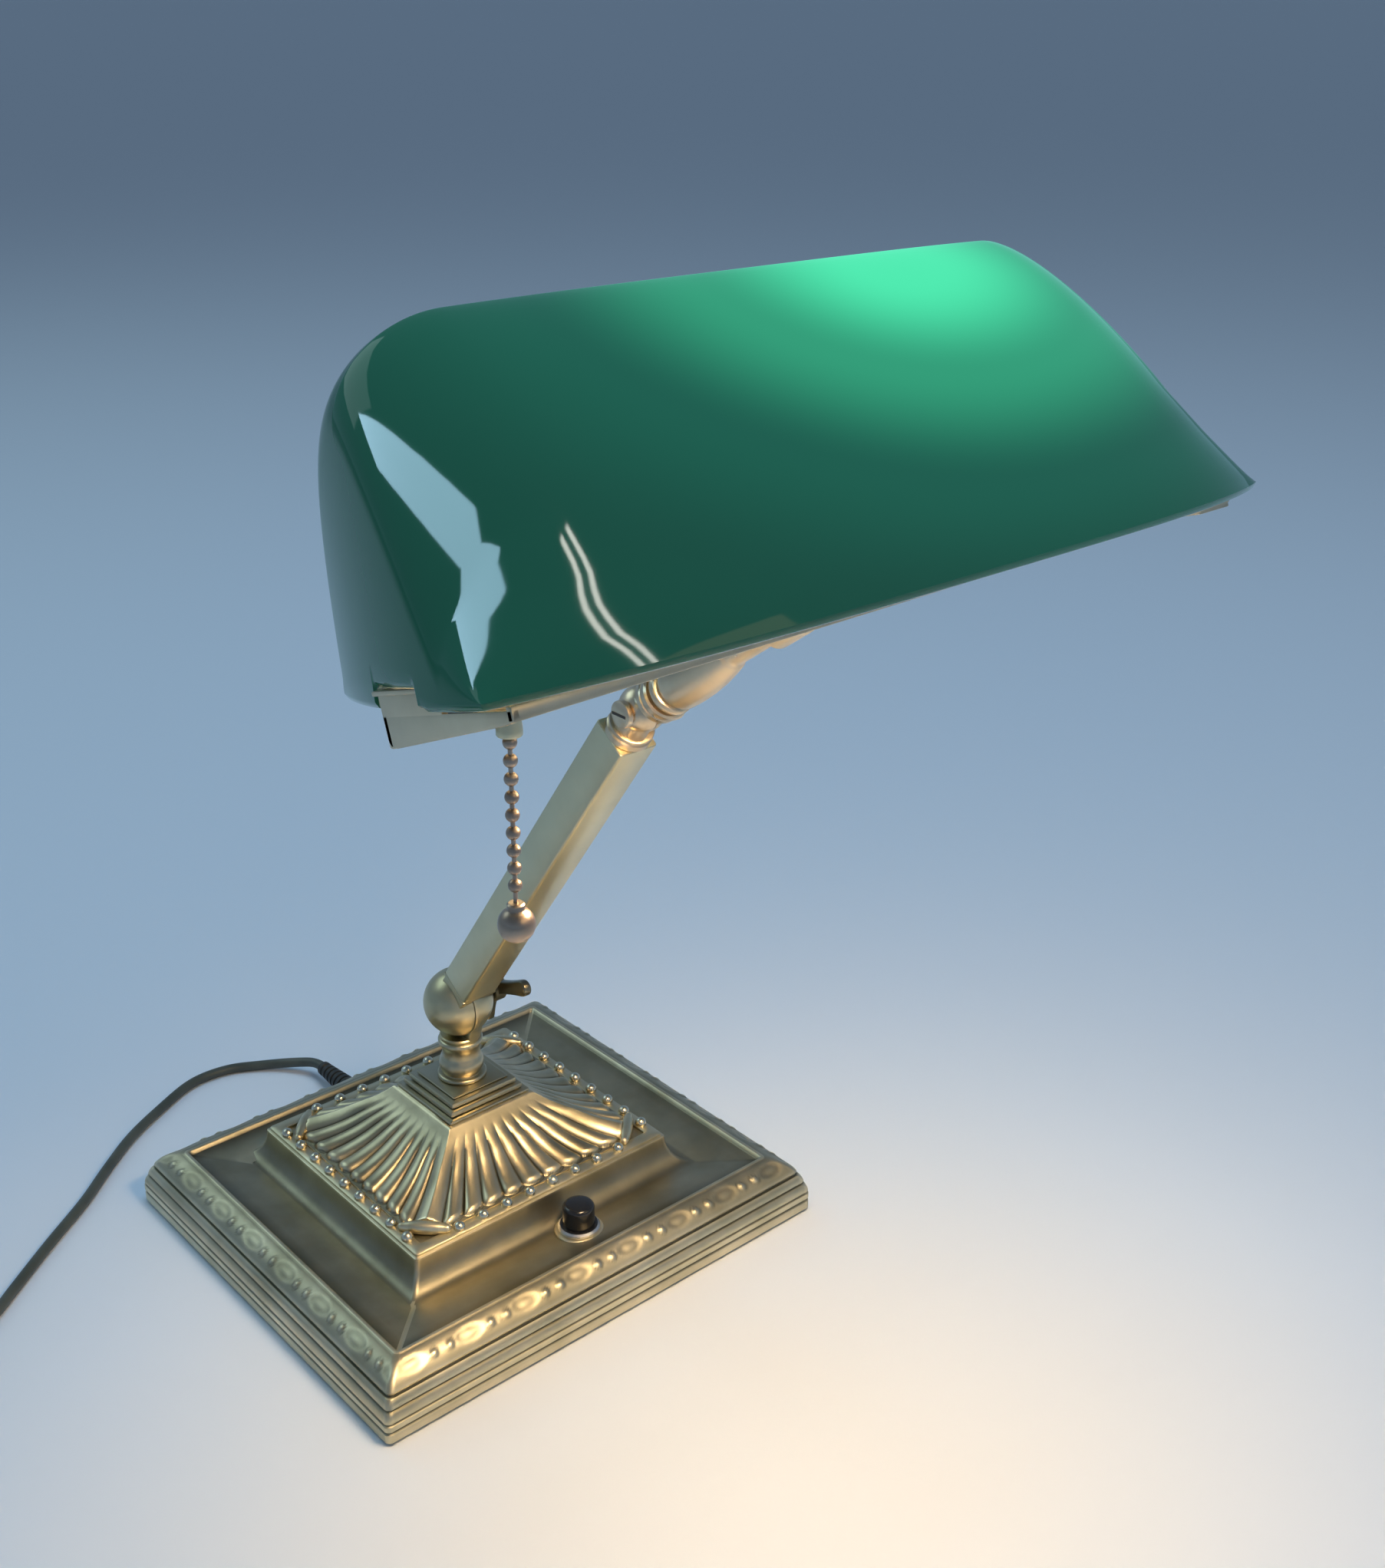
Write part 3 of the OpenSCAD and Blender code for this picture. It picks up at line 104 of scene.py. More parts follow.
def coil_point(t):
    """The coil's line after t layers: level spirals, with a climb at each reversal."""
    angle = math.radians(coil_first + (coil_last - coil_first) * t / coil_layers)
    layer = math.floor(t)
    inward = t - layer if layer % 2 == 0 else 1 - t + layer
    radius = coil_outer + (coil_inner - coil_outer) * inward
    near = math.floor(t + 0.5)
    climb = 0.25 * coil_layers / coil_turns
    if near <= 0 or near >= coil_layers:
        height = min(coil_layers - 1, max(0, near - (near > 0)))
    else:
        height = near - 1 + min(1, max(0, (t - near + climb) / (2 * climb)))
    return coil_centre + Vector((
        radius * math.cos(angle), radius * math.sin(angle), cord_floor + coil_pitch * height
    ))


coil_steps = round(coil_turns * 36)
coil_way = [coil_point(i * coil_layers / coil_steps) for i in range(coil_steps + 1)]
tail_start = coil_way[-1] + Vector((0, 0.6, 0))
plug_height = 7.2
tail_route = [tail_start] + [tail_start + Vector(p) for p in ((0, 4, 0), (0, 14, -1.4), (0, 25, -4.8))]
tail_route += [Vector((tail_start.x, tail_start.y + y, plug_height)) for y in (33, 36)]
cord_way = smooth_way(cord_route, 5)[:-1] + coil_way + smooth_way(tail_route, 4)
cord_curve = bpy.data.curves.new("mains_cord", "CURVE")
cord_curve.dimensions = "3D"
cord_curve.bevel_depth = cord_diameter / 2 * mm
cord_curve.bevel_resolution = 3
cord_curve.use_fill_caps = True
cord_line = cord_curve.splines.new("POLY")
cord_line.points.add(len(cord_way) - 1)
for point, place in zip(cord_line.points, cord_way):
    point.co = (*(place * mm), 1)
cord_line.use_smooth = True
cord = bpy.data.objects.new("mains_cord", cord_curve)
bpy.context.collection.objects.link(cord)


def shaded(name, colour, roughness, metallic=0.0, **sockets):
    """A principled material, with its shader and node tree to build on."""
    finish = bpy.data.materials.new(name)
    finish.use_nodes = True
    shader = finish.node_tree.nodes["Principled BSDF"]
    shader.inputs["Base Color"].default_value = (*colour, 1)
    shader.inputs["Roughness"].default_value = roughness
    shader.inputs["Metallic"].default_value = metallic
    for socket, value in sockets.items():
        shader.inputs[socket.replace("_", " ")].default_value = value
    finish.diffuse_color = (*colour, 1)
    return finish, shader, finish.node_tree


def grain(tree, scale, detail=3.0, stretch=(1, 1, 1), kind="ShaderNodeTexNoise"):
    """Noise on the piece's own coordinates, scale in spots a metre."""
    place = tree.nodes.new("ShaderNodeTexCoord")
    turn = tree.nodes.new("ShaderNodeMapping")
    turn.inputs["Scale"].default_value = stretch
    noise = tree.nodes.new(kind)
    noise.inputs["Scale"].default_value = scale
    noise.inputs["Detail"].default_value = detail
    tree.links.new(place.outputs["Object"], turn.inputs["Vector"])
    tree.links.new(turn.outputs["Vector"], noise.inputs["Vector"])
    return noise


def mottle(tree, shader, noise, colours, socket="Base Color", low=0.3, high=0.7):
    """Colours from the noise's values, laid over the socket."""
    ramp = tree.nodes.new("ShaderNodeValToRGB")
    ramp.color_ramp.elements[0].position = low
    ramp.color_ramp.elements[1].position = high
    for element, colour in zip(ramp.color_ramp.elements, colours):
        element.color = (*colour, 1)
    tree.links.new(noise.outputs[0], ramp.inputs["Fac"])
    tree.links.new(ramp.outputs["Color"], shader.inputs[socket])


def vary(tree, shader, noise, low, high, socket="Roughness"):
    """The socket's value between low and high, from the noise."""
    spread = tree.nodes.new("ShaderNodeMapRange")
    spread.inputs["From Min"].default_value = 0.3
    spread.inputs["From Max"].default_value = 0.7
    spread.inputs["To Min"].default_value = low
    spread.inputs["To Max"].default_value = high
    tree.links.new(noise.outputs[0], spread.inputs["Value"])
    tree.links.new(spread.outputs["Result"], shader.inputs[socket])


def rough_up(tree, shader, noise, height, strength=1.0):
    """Small bumps from the noise, height in millimetres."""
    bump = tree.nodes.new("ShaderNodeBump")
    bump.inputs["Distance"].default_value = height * mm
    bump.inputs["Strength"].default_value = strength
    tree.links.new(noise.outputs[0], bump.inputs["Height"])
    tree.links.new(bump.outputs["Normal"], shader.inputs["Normal"])


cord_jacket, shader, tree = shaded("cord_jacket", (0.055, 0.062, 0.05), 0.45)
mottle(tree, shader, grain(tree, 90), ((0.045, 0.052, 0.042), (0.075, 0.082, 0.066)))
rough_up(tree, shader, grain(tree, 900), 0.05)
cord_curve.materials.append(cord_jacket)
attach(cord, "base")
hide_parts("cord_run", "cord_coil", "cord_tail")

# Table, lamps and room light. A plain pale table top under a plain pale sky, and soft boxes.
# They are not part of the lamp.
table_bmesh = bmesh.new()
bmesh.ops.create_circle(table_bmesh, cap_ends=True, radius=600, segments=64)
table_mesh = bpy.data.meshes.new("table_top")
table_bmesh.to_mesh(table_mesh)
table_bmesh.free()
table = bpy.data.objects.new("table_top", table_mesh)
bpy.context.collection.objects.link(table)
table_finish, shader, tree = shaded("pale_table", (0.66, 0.71, 0.77), 0.6)
table_mesh.materials.append(table_finish)

world = bpy.data.worlds.new("blue_grey_room")
world.use_nodes = True
bpy.context.scene.world = world
sky = world.node_tree
sky_way = sky.nodes.new("ShaderNodeTexCoord")
sky_axes = sky.nodes.new("ShaderNodeSeparateXYZ")
sky_ramp = sky.nodes.new("ShaderNodeValToRGB")
sky_ramp.color_ramp.elements.new(0.3)
for element, (height, colour) in zip(sky_ramp.color_ramp.elements, (
    (0.0, (0.24, 0.36, 0.52)), (0.3, (0.18, 0.26, 0.37)), (1.0, (0.08, 0.11, 0.14)),
)):
    element.position = height
    element.color = (*colour, 1)
sky.links.new(sky_way.outputs["Generated"], sky_axes.inputs["Vector"])
sky.links.new(sky_axes.outputs["Z"], sky_ramp.inputs["Fac"])
sky.links.new(sky_ramp.outputs["Color"], sky.nodes["Background"].inputs["Color"])


def soft_box(name, place, aim, width, height, power, colour, turn=0):
    """An area lamp at place that faces aim, turned by degrees about its own axis."""
    data = bpy.data.lights.new(name, "AREA")
    data.shape = "RECTANGLE"
    data.size = width
    data.size_y = height
    data.energy = power
    data.color = colour
    lamp = bpy.data.objects.new(name, data)
    lamp.location = place
    facing = (Vector(aim) - Vector(place)).to_track_quat("-Z", "Y").to_matrix()
    lamp.rotation_euler = (facing @ Matrix.Rotation(math.radians(turn), 3, "Z")).to_euler()
    bpy.context.collection.objects.link(lamp)
    return lamp


ceiling_light = soft_box(
    "ceiling_light", (0.15, -0.1, 1.6), (0.1, -0.1, 0.1), 1.0, 0.8, 11, (0.44, 0.68, 0.94)
)
ceiling_light.visible_glossy = False
soft_box("rear_window", (-0.6, 1.3, 1.4), (0, 0, 0.15), 1.2, 0.8, 4.8, (0.70, 0.95, 0.96))
soft_box("front_light", (0.5, -1.7, 1.3), (0.05, -0.1, 0.1), 1.2, 0.8, 5, (1.0, 0.75, 0.40))
glass_glints = bpy.data.collections.new("glass_glints")
for name, x, y, length, width, power, turn, colour in (
    ("skylight", -1.165, 0.407, 1.70, 0.48, 69, -65, (0.48, 0.78, 1.0)),
    ("ceiling_strip_left", 0.192, -1.25, 1.63, 0.03, 5.5, -76, (1.0, 0.97, 0.88)),
    ("ceiling_strip_right", 0.122, -1.26, 1.63, 0.03, 5.5, -76, (1.0, 0.97, 0.88)),
):
    glint = soft_box(name, (x, y, 1.57), (x, y, 0), length, width, power, colour, turn)
    glint.visible_diffuse = False
    glint.light_linking.receiver_collection = glass_glints
bulb_lamp = soft_box(
    "bulb_light", (-0.01, -0.155, 0.236), (0.01, -0.19, 0), 0.09, 0.03, 0.72, (0.88, 0.61, 0.36)
)
bulb_lamp.visible_camera = False

# Metals, plastics and other finishes that several pieces share. Satin brass is drawn or turned and
# lightly darkened under lacquer; the steel is zinc plated; the rubber is moulded PVC.


def satin_brass(name, light=(0.66, 0.57, 0.38), dark=(0.50, 0.43, 0.28), roughness=0.3):
    finish, shader, tree = shaded(name, light, roughness, 1.0)
    mottle(tree, shader, grain(tree, 70, 4), (dark, light), low=0.32, high=0.62)
    vary(tree, shader, grain(tree, 200, 3), roughness - 0.06, roughness + 0.08)
    rough_up(tree, shader, grain(tree, 700, 3), 0.05, 0.4)
    return finish


tube_finish = satin_brass("satin_brass")
bright_finish = satin_brass("bright_brass", (0.80, 0.70, 0.50), (0.66, 0.56, 0.38), 0.24)
copper_finish = satin_brass("chain_copper", (0.46, 0.36, 0.28), (0.30, 0.22, 0.17), 0.36)
steel_finish, shader, tree = shaded("zinc_steel", (0.60, 0.60, 0.60), 0.32, 1.0)
vary(tree, shader, grain(tree, 260, 4), 0.26, 0.42)
black_gloss, shader, tree = shaded("black_gloss_plastic", (0.012, 0.012, 0.013), 0.16)
rough_up(tree, shader, grain(tree, 500, 2), 0.02, 0.3)
# Black rubber, also used as the painted shadow in the upper screw's slot.
black_rubber_and_slot_shadow, shader, tree = shaded("black_rubber_and_slot_shadow", (0.022, 0.023, 0.022), 0.55)
rough_up(tree, shader, grain(tree, 900, 3), 0.05, 0.5)
iron_finish, shader, tree = shaded("ballast_iron", (0.09, 0.09, 0.095), 0.62, 0.6)
rough_up(tree, shader, grain(tree, 500, 5), 0.3, 0.8)
felt_finish, shader, tree = shaded("green_felt", (0.03, 0.07, 0.045), 0.95)
rough_up(tree, shader, grain(tree, 1400, 4), 0.25, 0.9)
ceramic_finish, shader, tree = shaded("white_ceramic", (0.80, 0.77, 0.70), 0.22)
rough_up(tree, shader, grain(tree, 300, 2), 0.05, 0.4)
lead_finish, shader, tree = shaded("lead_sleeve", (0.05, 0.05, 0.05), 0.5)

def piece(name, shape, body, finish, sharp=35, replaces=()):
    """The shape, in millimetres, as a finished piece that rides on the body."""
    bmesh.ops.scale(shape, vec=(mm, mm, mm), verts=shape.verts)
    mesh = bpy.data.meshes.new(name)
    for face in shape.faces:
        face.smooth = True
    shape.to_mesh(mesh)
    shape.free()
    mesh.set_sharp_from_angle(angle=math.radians(sharp))
    for each in finish if isinstance(finish, tuple) else (finish,):
        mesh.materials.append(each)
    made = bpy.data.objects.new(name, mesh)
    bpy.context.collection.objects.link(made)
    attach(made, body)
    if replaces:
        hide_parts(*replaces)
    return made


def ringed(steps, corner_steps=4, closed=True):
    """A moulding of rounded rectangular rings, each of half width, half depth, corner, z and y."""
    shape = bmesh.new()
    way = shape.verts.layers.float_vector.new("way")
    row = shape.verts.layers.float.new("row")
    ring = bmesh.ops.create_circle(shape, segments=4 * corner_steps, radius=1)["verts"]
    bmesh.ops.rotate(
        shape, verts=ring, cent=(0, 0, 0), matrix=Matrix.Rotation(math.pi / (4 * corner_steps), 3, "Z")
    )
    for vert in ring:
        vert[way] = vert.co
    first = ring
    for number, (half_w, half_d, corner, z, *rest) in enumerate(steps):
        if number:
            edges = [e for e in shape.edges if e.verts[0] in last and e.verts[1] in last]
            made = bmesh.ops.extrude_edge_only(shape, edges=edges)["geom"]
            ring = [g for g in made if isinstance(g, bmesh.types.BMVert)]
        for vert in ring:
            turn = vert[way]
            vert[row] = number
            vert.co = (
                math.copysign(half_w - corner, turn.x) + turn.x * corner,
                math.copysign(half_d - corner, turn.y) + turn.y * corner + (rest[0] if rest else 0),
                z,
            )
        last = set(ring)
    if closed:
        bmesh.ops.contextual_create(shape, geom=[
            e for e in shape.edges if len(e.link_faces) == 1 and e.verts[0] in last
        ])
        first = set(first)
        bmesh.ops.contextual_create(shape, geom=[
            e for e in shape.edges if len(e.link_faces) == 1 and e.verts[0] in first
        ])
    bmesh.ops.recalc_face_normals(shape, faces=shape.faces)
    return shape


def turned(outline, steps=48):
    """A shape turned about Z from its outline of radius and height, closed on itself or the axis."""
    shape = bmesh.new()
    verts = [shape.verts.new((radius, 0, z)) for radius, z in outline]
    pairs = list(zip(verts, verts[1:]))
    if outline[0][0] > 0:
        pairs.append((verts[-1], verts[0]))
    edges = [shape.edges.new(pair) for pair in pairs]
    bmesh.ops.spin(
        shape, geom=verts + edges, axis=(0, 0, 1), cent=(0, 0, 0), steps=steps,
        angle=2 * math.pi, use_merge=True,
    )
    bmesh.ops.remove_doubles(shape, verts=shape.verts, dist=0.0005)
    bmesh.ops.recalc_face_normals(shape, faces=shape.faces)
    return shape


def eased(shape, width, segments=2, above=28):
    """The shape with its sharp edges rounded to the width."""
    edges = [
        e for e in shape.edges
        if len(e.link_faces) == 2 and e.calc_face_angle(0) > math.radians(above)
    ]
    bmesh.ops.bevel(
        shape, geom=edges, offset=width, offset_type="OFFSET", segments=segments, profile=0.5,
        affect="EDGES", material=-1, clamp_overlap=True,
    )
    return shape


def block(low, high):
    """A box between its two corners."""
    shape = bmesh.new()
    bmesh.ops.create_cube(shape, size=1)
    size = [h - l for l, h in zip(low, high)]
    bmesh.ops.scale(shape, vec=size, verts=shape.verts)
    bmesh.ops.translate(shape, vec=[(l + h) / 2 for l, h in zip(low, high)], verts=shape.verts)
    return shape


def gathered(*shapes):
    """Several shapes as one."""
    for other in shapes[1:]:
        spare = bpy.data.meshes.new("spare")
        other.to_mesh(spare)
        other.free()
        shapes[0].from_mesh(spare)
        bpy.data.meshes.remove(spare)
    return shapes[0]


def placed(shape, matrix):
    """The shape moved by the matrix."""
    bmesh.ops.transform(shape, matrix=matrix, verts=shape.verts)
    return shape


def arc(centre, radius, start, end, steps):
    """Points on an arc in the plane of an outline, angles in degrees."""
    turns = [math.radians(start + (end - start) * i / steps) for i in range(steps + 1)]
    return [(centre[0] + radius * math.cos(t), centre[1] + radius * math.sin(t)) for t in turns]


def bowed(a, b, rise, steps):
    """Points from a to b on a curve that stands proud by rise, on the left of the way."""
    way = Vector(b) - Vector(a)
    side = Vector((-way.y, way.x)).normalized()
    points = [Vector(a) + way * (i / steps) + side * (4 * rise * (i / steps) * (1 - i / steps))
              for i in range(steps + 1)]
    return [tuple(p) for p in points]

# Base casting. One hollow brass casting, about 3.8 mm thick: an upright wall, a moulded edge with an
# egg and bead border, a rim line, a wide cove and a raised platform. Antique finish under lacquer.
base_half_w = 80
base_half_d = 72.5
column_y = 4.5
wall_corner = 1.8
cove_floor = 16.2
platform_top = 25.6
edge_profile = (
    [(0.5, 0.6), (0, 1.1), (0, 3.2), (0, 3.7), (0.35, 4.1), (0.35, 4.5), (0, 4.9), (0, 6.5)]
    + [(0.3, 6.8), (0.3, 7.2)] + bowed((0.15, 7.5), (1.0, 10.0), 0.15, 3) + [(1.4, 10.3), (1.4, 10.7)]
    + bowed((1.25, 11.0), (2.3, 13.2), 0.15, 3)
    + [(2.5, 13.4), (3.0, 13.4), (3.2, 13.7), (3.0, 14.1)]
)
band_profile = bowed((2.6, 14.1), (10.2, 19.25), 1.1, 16)[1:]
band_slant = math.dist(band_profile[0], band_profile[-1])
cove_profile = [
    (10.4, 19.4), (11.3, 19.4), (11.6, 19.25), (12.1, 18.35), (12.5, 18.1), (16, 17.65), (22, 16.9),
    (26, 16.35),
]
platform_half_w = 47.3
platform_half_d = 43.3
cove_curve = 6
egg_pitch = 19.2


def egg_and_bead(along, across):
    """Height of the border's ornament: a sunken oval with a raised middle, and a bead at each end."""
    nearest = abs(along) % egg_pitch - egg_pitch / 2
    ring = math.hypot(nearest / 4.8, (across - 0.2) / 2.5)
    height = 0
    if ring < 1:
        height = -0.25 * (1 - ring ** 4)
        if ring < 0.55:
            height += 0.1 * (1 - (ring / 0.55) ** 2)
    bead = math.hypot((abs(nearest) - 6.9) / 1.1, (across + 0.1) / 1.1)
    if bead < 1:
        height = max(height, 0.45 * (1 - bead * bead) ** 0.5)
    return height


def base_rings():
    """Rings of the casting from its hollow underside over the edge and cove to the platform."""
    inside = [
        (platform_half_w - 3.8, platform_half_d - 3.8, 1.5, 21.8, column_y),
        (platform_half_w - 3.8, platform_half_d - 3.8, 1.5, 12.4, column_y),
        (base_half_w - 3.8, base_half_d - 3.8, 1.5, 12.4), (base_half_w - 3.8, base_half_d - 3.8, 1.5, 0.9),
        (base_half_w - 3.5, base_half_d - 3.5, 1.5, 0.6),
    ]
    rings = [
        (base_half_w - d, base_half_d - d, wall_corner if d < 11 else 0.8, z, 0)
        for d, z in edge_profile + band_profile + cove_profile
    ]
    for a in (0, 12, 24, 36, 48, 60, 72, 84, 88):
        reach = cove_curve * (1 - math.sin(math.radians(a)))
        rings.append((
            platform_half_w + reach, platform_half_d + reach, 1.2,
            platform_top - 0.1 - (platform_top - cove_floor - 0.1) * math.cos(math.radians(a)), column_y,
        ))
    rings += [
        (platform_half_w - 0.05, platform_half_d - 0.05, 1.0, platform_top - 0.15, column_y),
        (platform_half_w - 0.3, platform_half_d - 0.3, 1.0, platform_top, column_y),
        (platform_half_w - 2, platform_half_d - 2, 1.0, platform_top, column_y),
    ]
    return inside + rings, len(inside) + len(edge_profile)


rings, band_first = base_rings()
casting = ringed(rings)
row = casting.verts.layers.float["row"]
way = casting.verts.layers.float_vector["way"]
outside_first = 5
long_edges = [
    e for e in casting.edges
    if e.verts[0][row] == e.verts[1][row] >= outside_first and e.calc_length() > 20
]
bmesh.ops.subdivide_edges(casting, edges=long_edges, cuts=249, use_grid_fill=True)
casting.normal_update()
band_last = band_first + len(band_profile) - 1
for vert in casting.verts:
    level = round(vert[row])
    if band_first <= level <= band_last and max(abs(vert[way].x), abs(vert[way].y)) > 0.9:
        on_width = abs(vert[way].y) > 0.9
        along = vert.co.x if on_width else vert.co.y
        across = ((level - band_first) / (len(band_profile) - 1) - 0.5) * band_slant
        vert.co += vert.normal * egg_and_bead(along, across)


def antique_brass(name, light, dark, roughness=0.36, wear=None, pits=0.1):
    """Antique brass: an olive brown patina, deeper in the hollows and rubbed on the crests."""
    finish, shader, tree = shaded(name, light, roughness, 1.0)
    mottle(tree, shader, grain(tree, 55, 5), (dark, light), low=0.36, high=0.66)
    vary(tree, shader, grain(tree, 140, 4), roughness - 0.03, roughness + 0.05)
    rough_up(tree, shader, grain(tree, 420, 4), pits, 0.5)
    if wear:
        surface = tree.nodes.new("ShaderNodeNewGeometry")
        depth = tree.nodes.new("ShaderNodeValToRGB")
        depth.color_ramp.elements[0].position = wear[0]
        depth.color_ramp.elements[1].position = wear[1]
        depth.color_ramp.elements[0].color = (0.26, 0.26, 0.24, 1)
        depth.color_ramp.elements[1].color = (1.35, 1.3, 1.2, 1)
        rub = tree.nodes.new("ShaderNodeMix")
        rub.data_type = "RGBA"
        rub.blend_type = "MULTIPLY"
        rub.inputs["Factor"].default_value = 1
        base = shader.inputs["Base Color"].links[0].from_socket
        tree.links.new(surface.outputs["Pointiness"], depth.inputs["Fac"])
        tree.links.new(base, rub.inputs["A"])
        tree.links.new(depth.outputs["Color"], rub.inputs["B"])
        tree.links.new(rub.outputs["Result"], shader.inputs["Base Color"])
    return finish


cast_finish = antique_brass(
    "cast_antique_brass", (0.55, 0.52, 0.41), (0.41, 0.385, 0.285), 0.42, wear=(0.465, 0.53)
)
relief_finish = antique_brass(
    "relief_antique_brass", (0.68, 0.62, 0.46), (0.45, 0.41, 0.29), 0.36, wear=(0.46, 0.54)
)
piece("base_moulding", casting, "base", cast_finish, 40, ["base_casting"])

# Switch seat. A low turned boss of the casting, faced flat for the switch's ring nut.
switch_x = 4
switch_y = -49
seat = turned([(5.8, 12.4), (7.2, 12.4), (7.5, 17.2), (7.1, 17.6), (5.8, 17.6)])
piece("switch_seat", placed(seat, Matrix.Translation((switch_x, switch_y, 0))), "base",
      cast_finish)

# Push switch. A black moulded body under the cove, a nickel ring nut and a domed black button.
nut = turned([(5.75, 17.6), (6.1, 17.6), (6.4, 17.8), (6.4, 18.5), (5.9, 19.1), (5.75, 19.1)])
piece("switch_ring", placed(nut, Matrix.Translation((switch_x, switch_y, 0))), "base",
      steel_finish, 30, ["switch_ring_nut"])
button = turned(
    [(0, 15.8), (4.9, 15.8)] + arc((4.9 - 1.5, 26.3 - 1.5), 1.5, 0, 80, 6)
    + [(2.2, 26.52), (0, 26.6)]
)
piece("push_button_cap", placed(button, Matrix.Translation((switch_x, switch_y, 0))), "push_button",
      black_gloss, 40, ["switch_button"])

# Fluted pyramid. A hollow brass stamping on the platform: nine rounded tongues a side run up to a
# plain square top, and a broader leaf covers each corner.
foot_half_w = 42.5
foot_half_d = 38.5
pyramid_foot = 26.8
pyramid_top = 42.2
top_half = 15.6
corner_leaf = 0.17
tongues = 9
slope_cols = 2 * 10 + tongues * 14
slope_rows = 64


def tongue_height(share, rise_to):
    """Height of the flutes at a share -1 to 1 along a side and 0 to 1 up the slope."""
    if abs(share) > 1 - corner_leaf:
        across = (1 - abs(share)) / corner_leaf
        rise = 2.1
        tip = 0.015
    else:
        place = (share / (1 - corner_leaf) + 1) / 2 * tongues
        across = 2 * (place - min(tongues - 1, math.floor(place))) - 1
        rise = 1.75
        tip = 0.03
    nose = tip + 0.085 * (1 - math.sqrt(max(0, 1 - across * across)))
    lip = min(1, max(0, (rise_to - nose) / 0.07))
    fade = min(1, max(0, (0.93 - rise_to) / 0.35))
    crown = max(0, 1 - abs(across) ** 2.2) ** 0.6
    hollow = 0.62 + 0.38 * math.cos(math.pi * min(1, rise_to / 0.55))
    return rise * crown * math.sqrt(1 - (1 - lip) ** 2) * fade * (3 - 2 * fade) * fade * hollow ** 0.3


def slope(turn):
    """One side of the pyramid, turned into its place."""
    half_w, half_d = (foot_half_w, foot_half_d) if turn % 180 == 0 else (foot_half_d, foot_half_w)
    side = bmesh.new()
    bmesh.ops.create_grid(side, x_segments=slope_cols, y_segments=slope_rows, size=1)
    for vert in side.verts:
        share = vert.co.x
        up = ((vert.co.y + 1) / 2) ** 1.35
        half = half_w + (top_half - half_w) * up
        reach = half_d + (top_half - half_d) * up
        z = pyramid_foot + (pyramid_top - pyramid_foot) * up ** 1.55
        vert.co = (share * half, -reach, z + tongue_height(share, up))
    return placed(side, Matrix.Rotation(math.radians(turn), 4, "Z"))


pyramid = gathered(*(slope(turn) for turn in (0, 90, 180, 270)))
bmesh.ops.remove_doubles(pyramid, verts=pyramid.verts, dist=0.01)
corner_cut = 10
for vert in pyramid.verts:
    past = abs(vert.co.x) - foot_half_w + abs(vert.co.y) - foot_half_d + corner_cut
    if past > 0:
        vert.co.x -= math.copysign(past / 2, vert.co.x)
        vert.co.y -= math.copysign(past / 2, vert.co.y)
foot = [e for e in pyramid.edges if len(e.link_faces) == 1 and e.verts[0].co.z < pyramid_foot + 4]
skirt = bmesh.ops.extrude_edge_only(pyramid, edges=foot)["geom"]
for vert in skirt:
    if isinstance(vert, bmesh.types.BMVert):
        vert.co.z = platform_top - 0.05
bmesh.ops.holes_fill(pyramid, edges=[e for e in pyramid.edges if len(e.link_faces) == 1])
bmesh.ops.recalc_face_normals(pyramid, faces=pyramid.faces)
piece("pyramid_leaves", placed(pyramid, Matrix.Translation((0, column_y, 0))), "base",
      relief_finish, 50, ["fluted_pyramid"])
scrolls = []
scroll_outline = (
    [(0, -8)] + arc((0, -6.7), 1.3, -80, 0, 5) + bowed((1.3, -6.6), (1.3, 6.6), -0.8, 12)
    + arc((0, 6.7), 1.3, 0, 80, 5) + [(0, 8)]
)
for x_side in (-1, 1):
    for y_side in (-1, 1):
        scroll = turned(scroll_outline, 20)
        placed(scroll, Matrix.Rotation(math.pi / 2, 4, "X"))
        placed(scroll, Matrix.Rotation(x_side * y_side * math.pi / 4, 4, "Z"))
        scrolls.append(placed(scroll, Matrix.Translation((
            x_side * (foot_half_w - corner_cut / 2 + 0.9), y_side * (foot_half_d - corner_cut / 2 + 0.9), 27.6
        ))))
piece("corner_scrolls", placed(gathered(*scrolls), Matrix.Translation((0, column_y, 0))), "base",
      relief_finish, 50)

# Bead border. Eight small balls on the front and back and nine on each end, on a flat strip round the pyramid's
# foot, polished bright.
strip = ringed([
    (42.55, 38.55, 0.8, 25.5, 0), (42.55, 38.55, 0.8, 26.4, 0), (42.8, 38.8, 0.8, 26.6, 0),
    (46.2, 42.2, 1.2, 26.6, 0), (46.5, 42.5, 1.2, 26.35, 0), (46.5, 42.5, 1.2, 25.5, 0),
], closed=False)
beads = bmesh.new()
bead_step = 8.6
for side in range(4):
    count, away = ((8, 40.4), (9, 44.4))[side % 2]
    for number in range(count):
        made = bmesh.ops.create_uvsphere(beads, u_segments=20, v_segments=12, radius=1.85)["verts"]
        bmesh.ops.translate(beads, verts=made, vec=((number - (count - 1) / 2) * bead_step, -away, 27.1))
    bmesh.ops.rotate(beads, verts=beads.verts, cent=(0, 0, 0), matrix=Matrix.Rotation(math.pi / 2, 3, "Z"))
bead_finish = antique_brass("bead_brass", (0.74, 0.70, 0.55), (0.60, 0.56, 0.44), 0.26)
piece("bead_strip", placed(strip, Matrix.Translation((0, column_y, 0))), "base",
      cast_finish, 35, ["bead_border"])
piece("beads", placed(beads, Matrix.Translation((0, column_y, 0))), "base",
      bead_finish, 60)

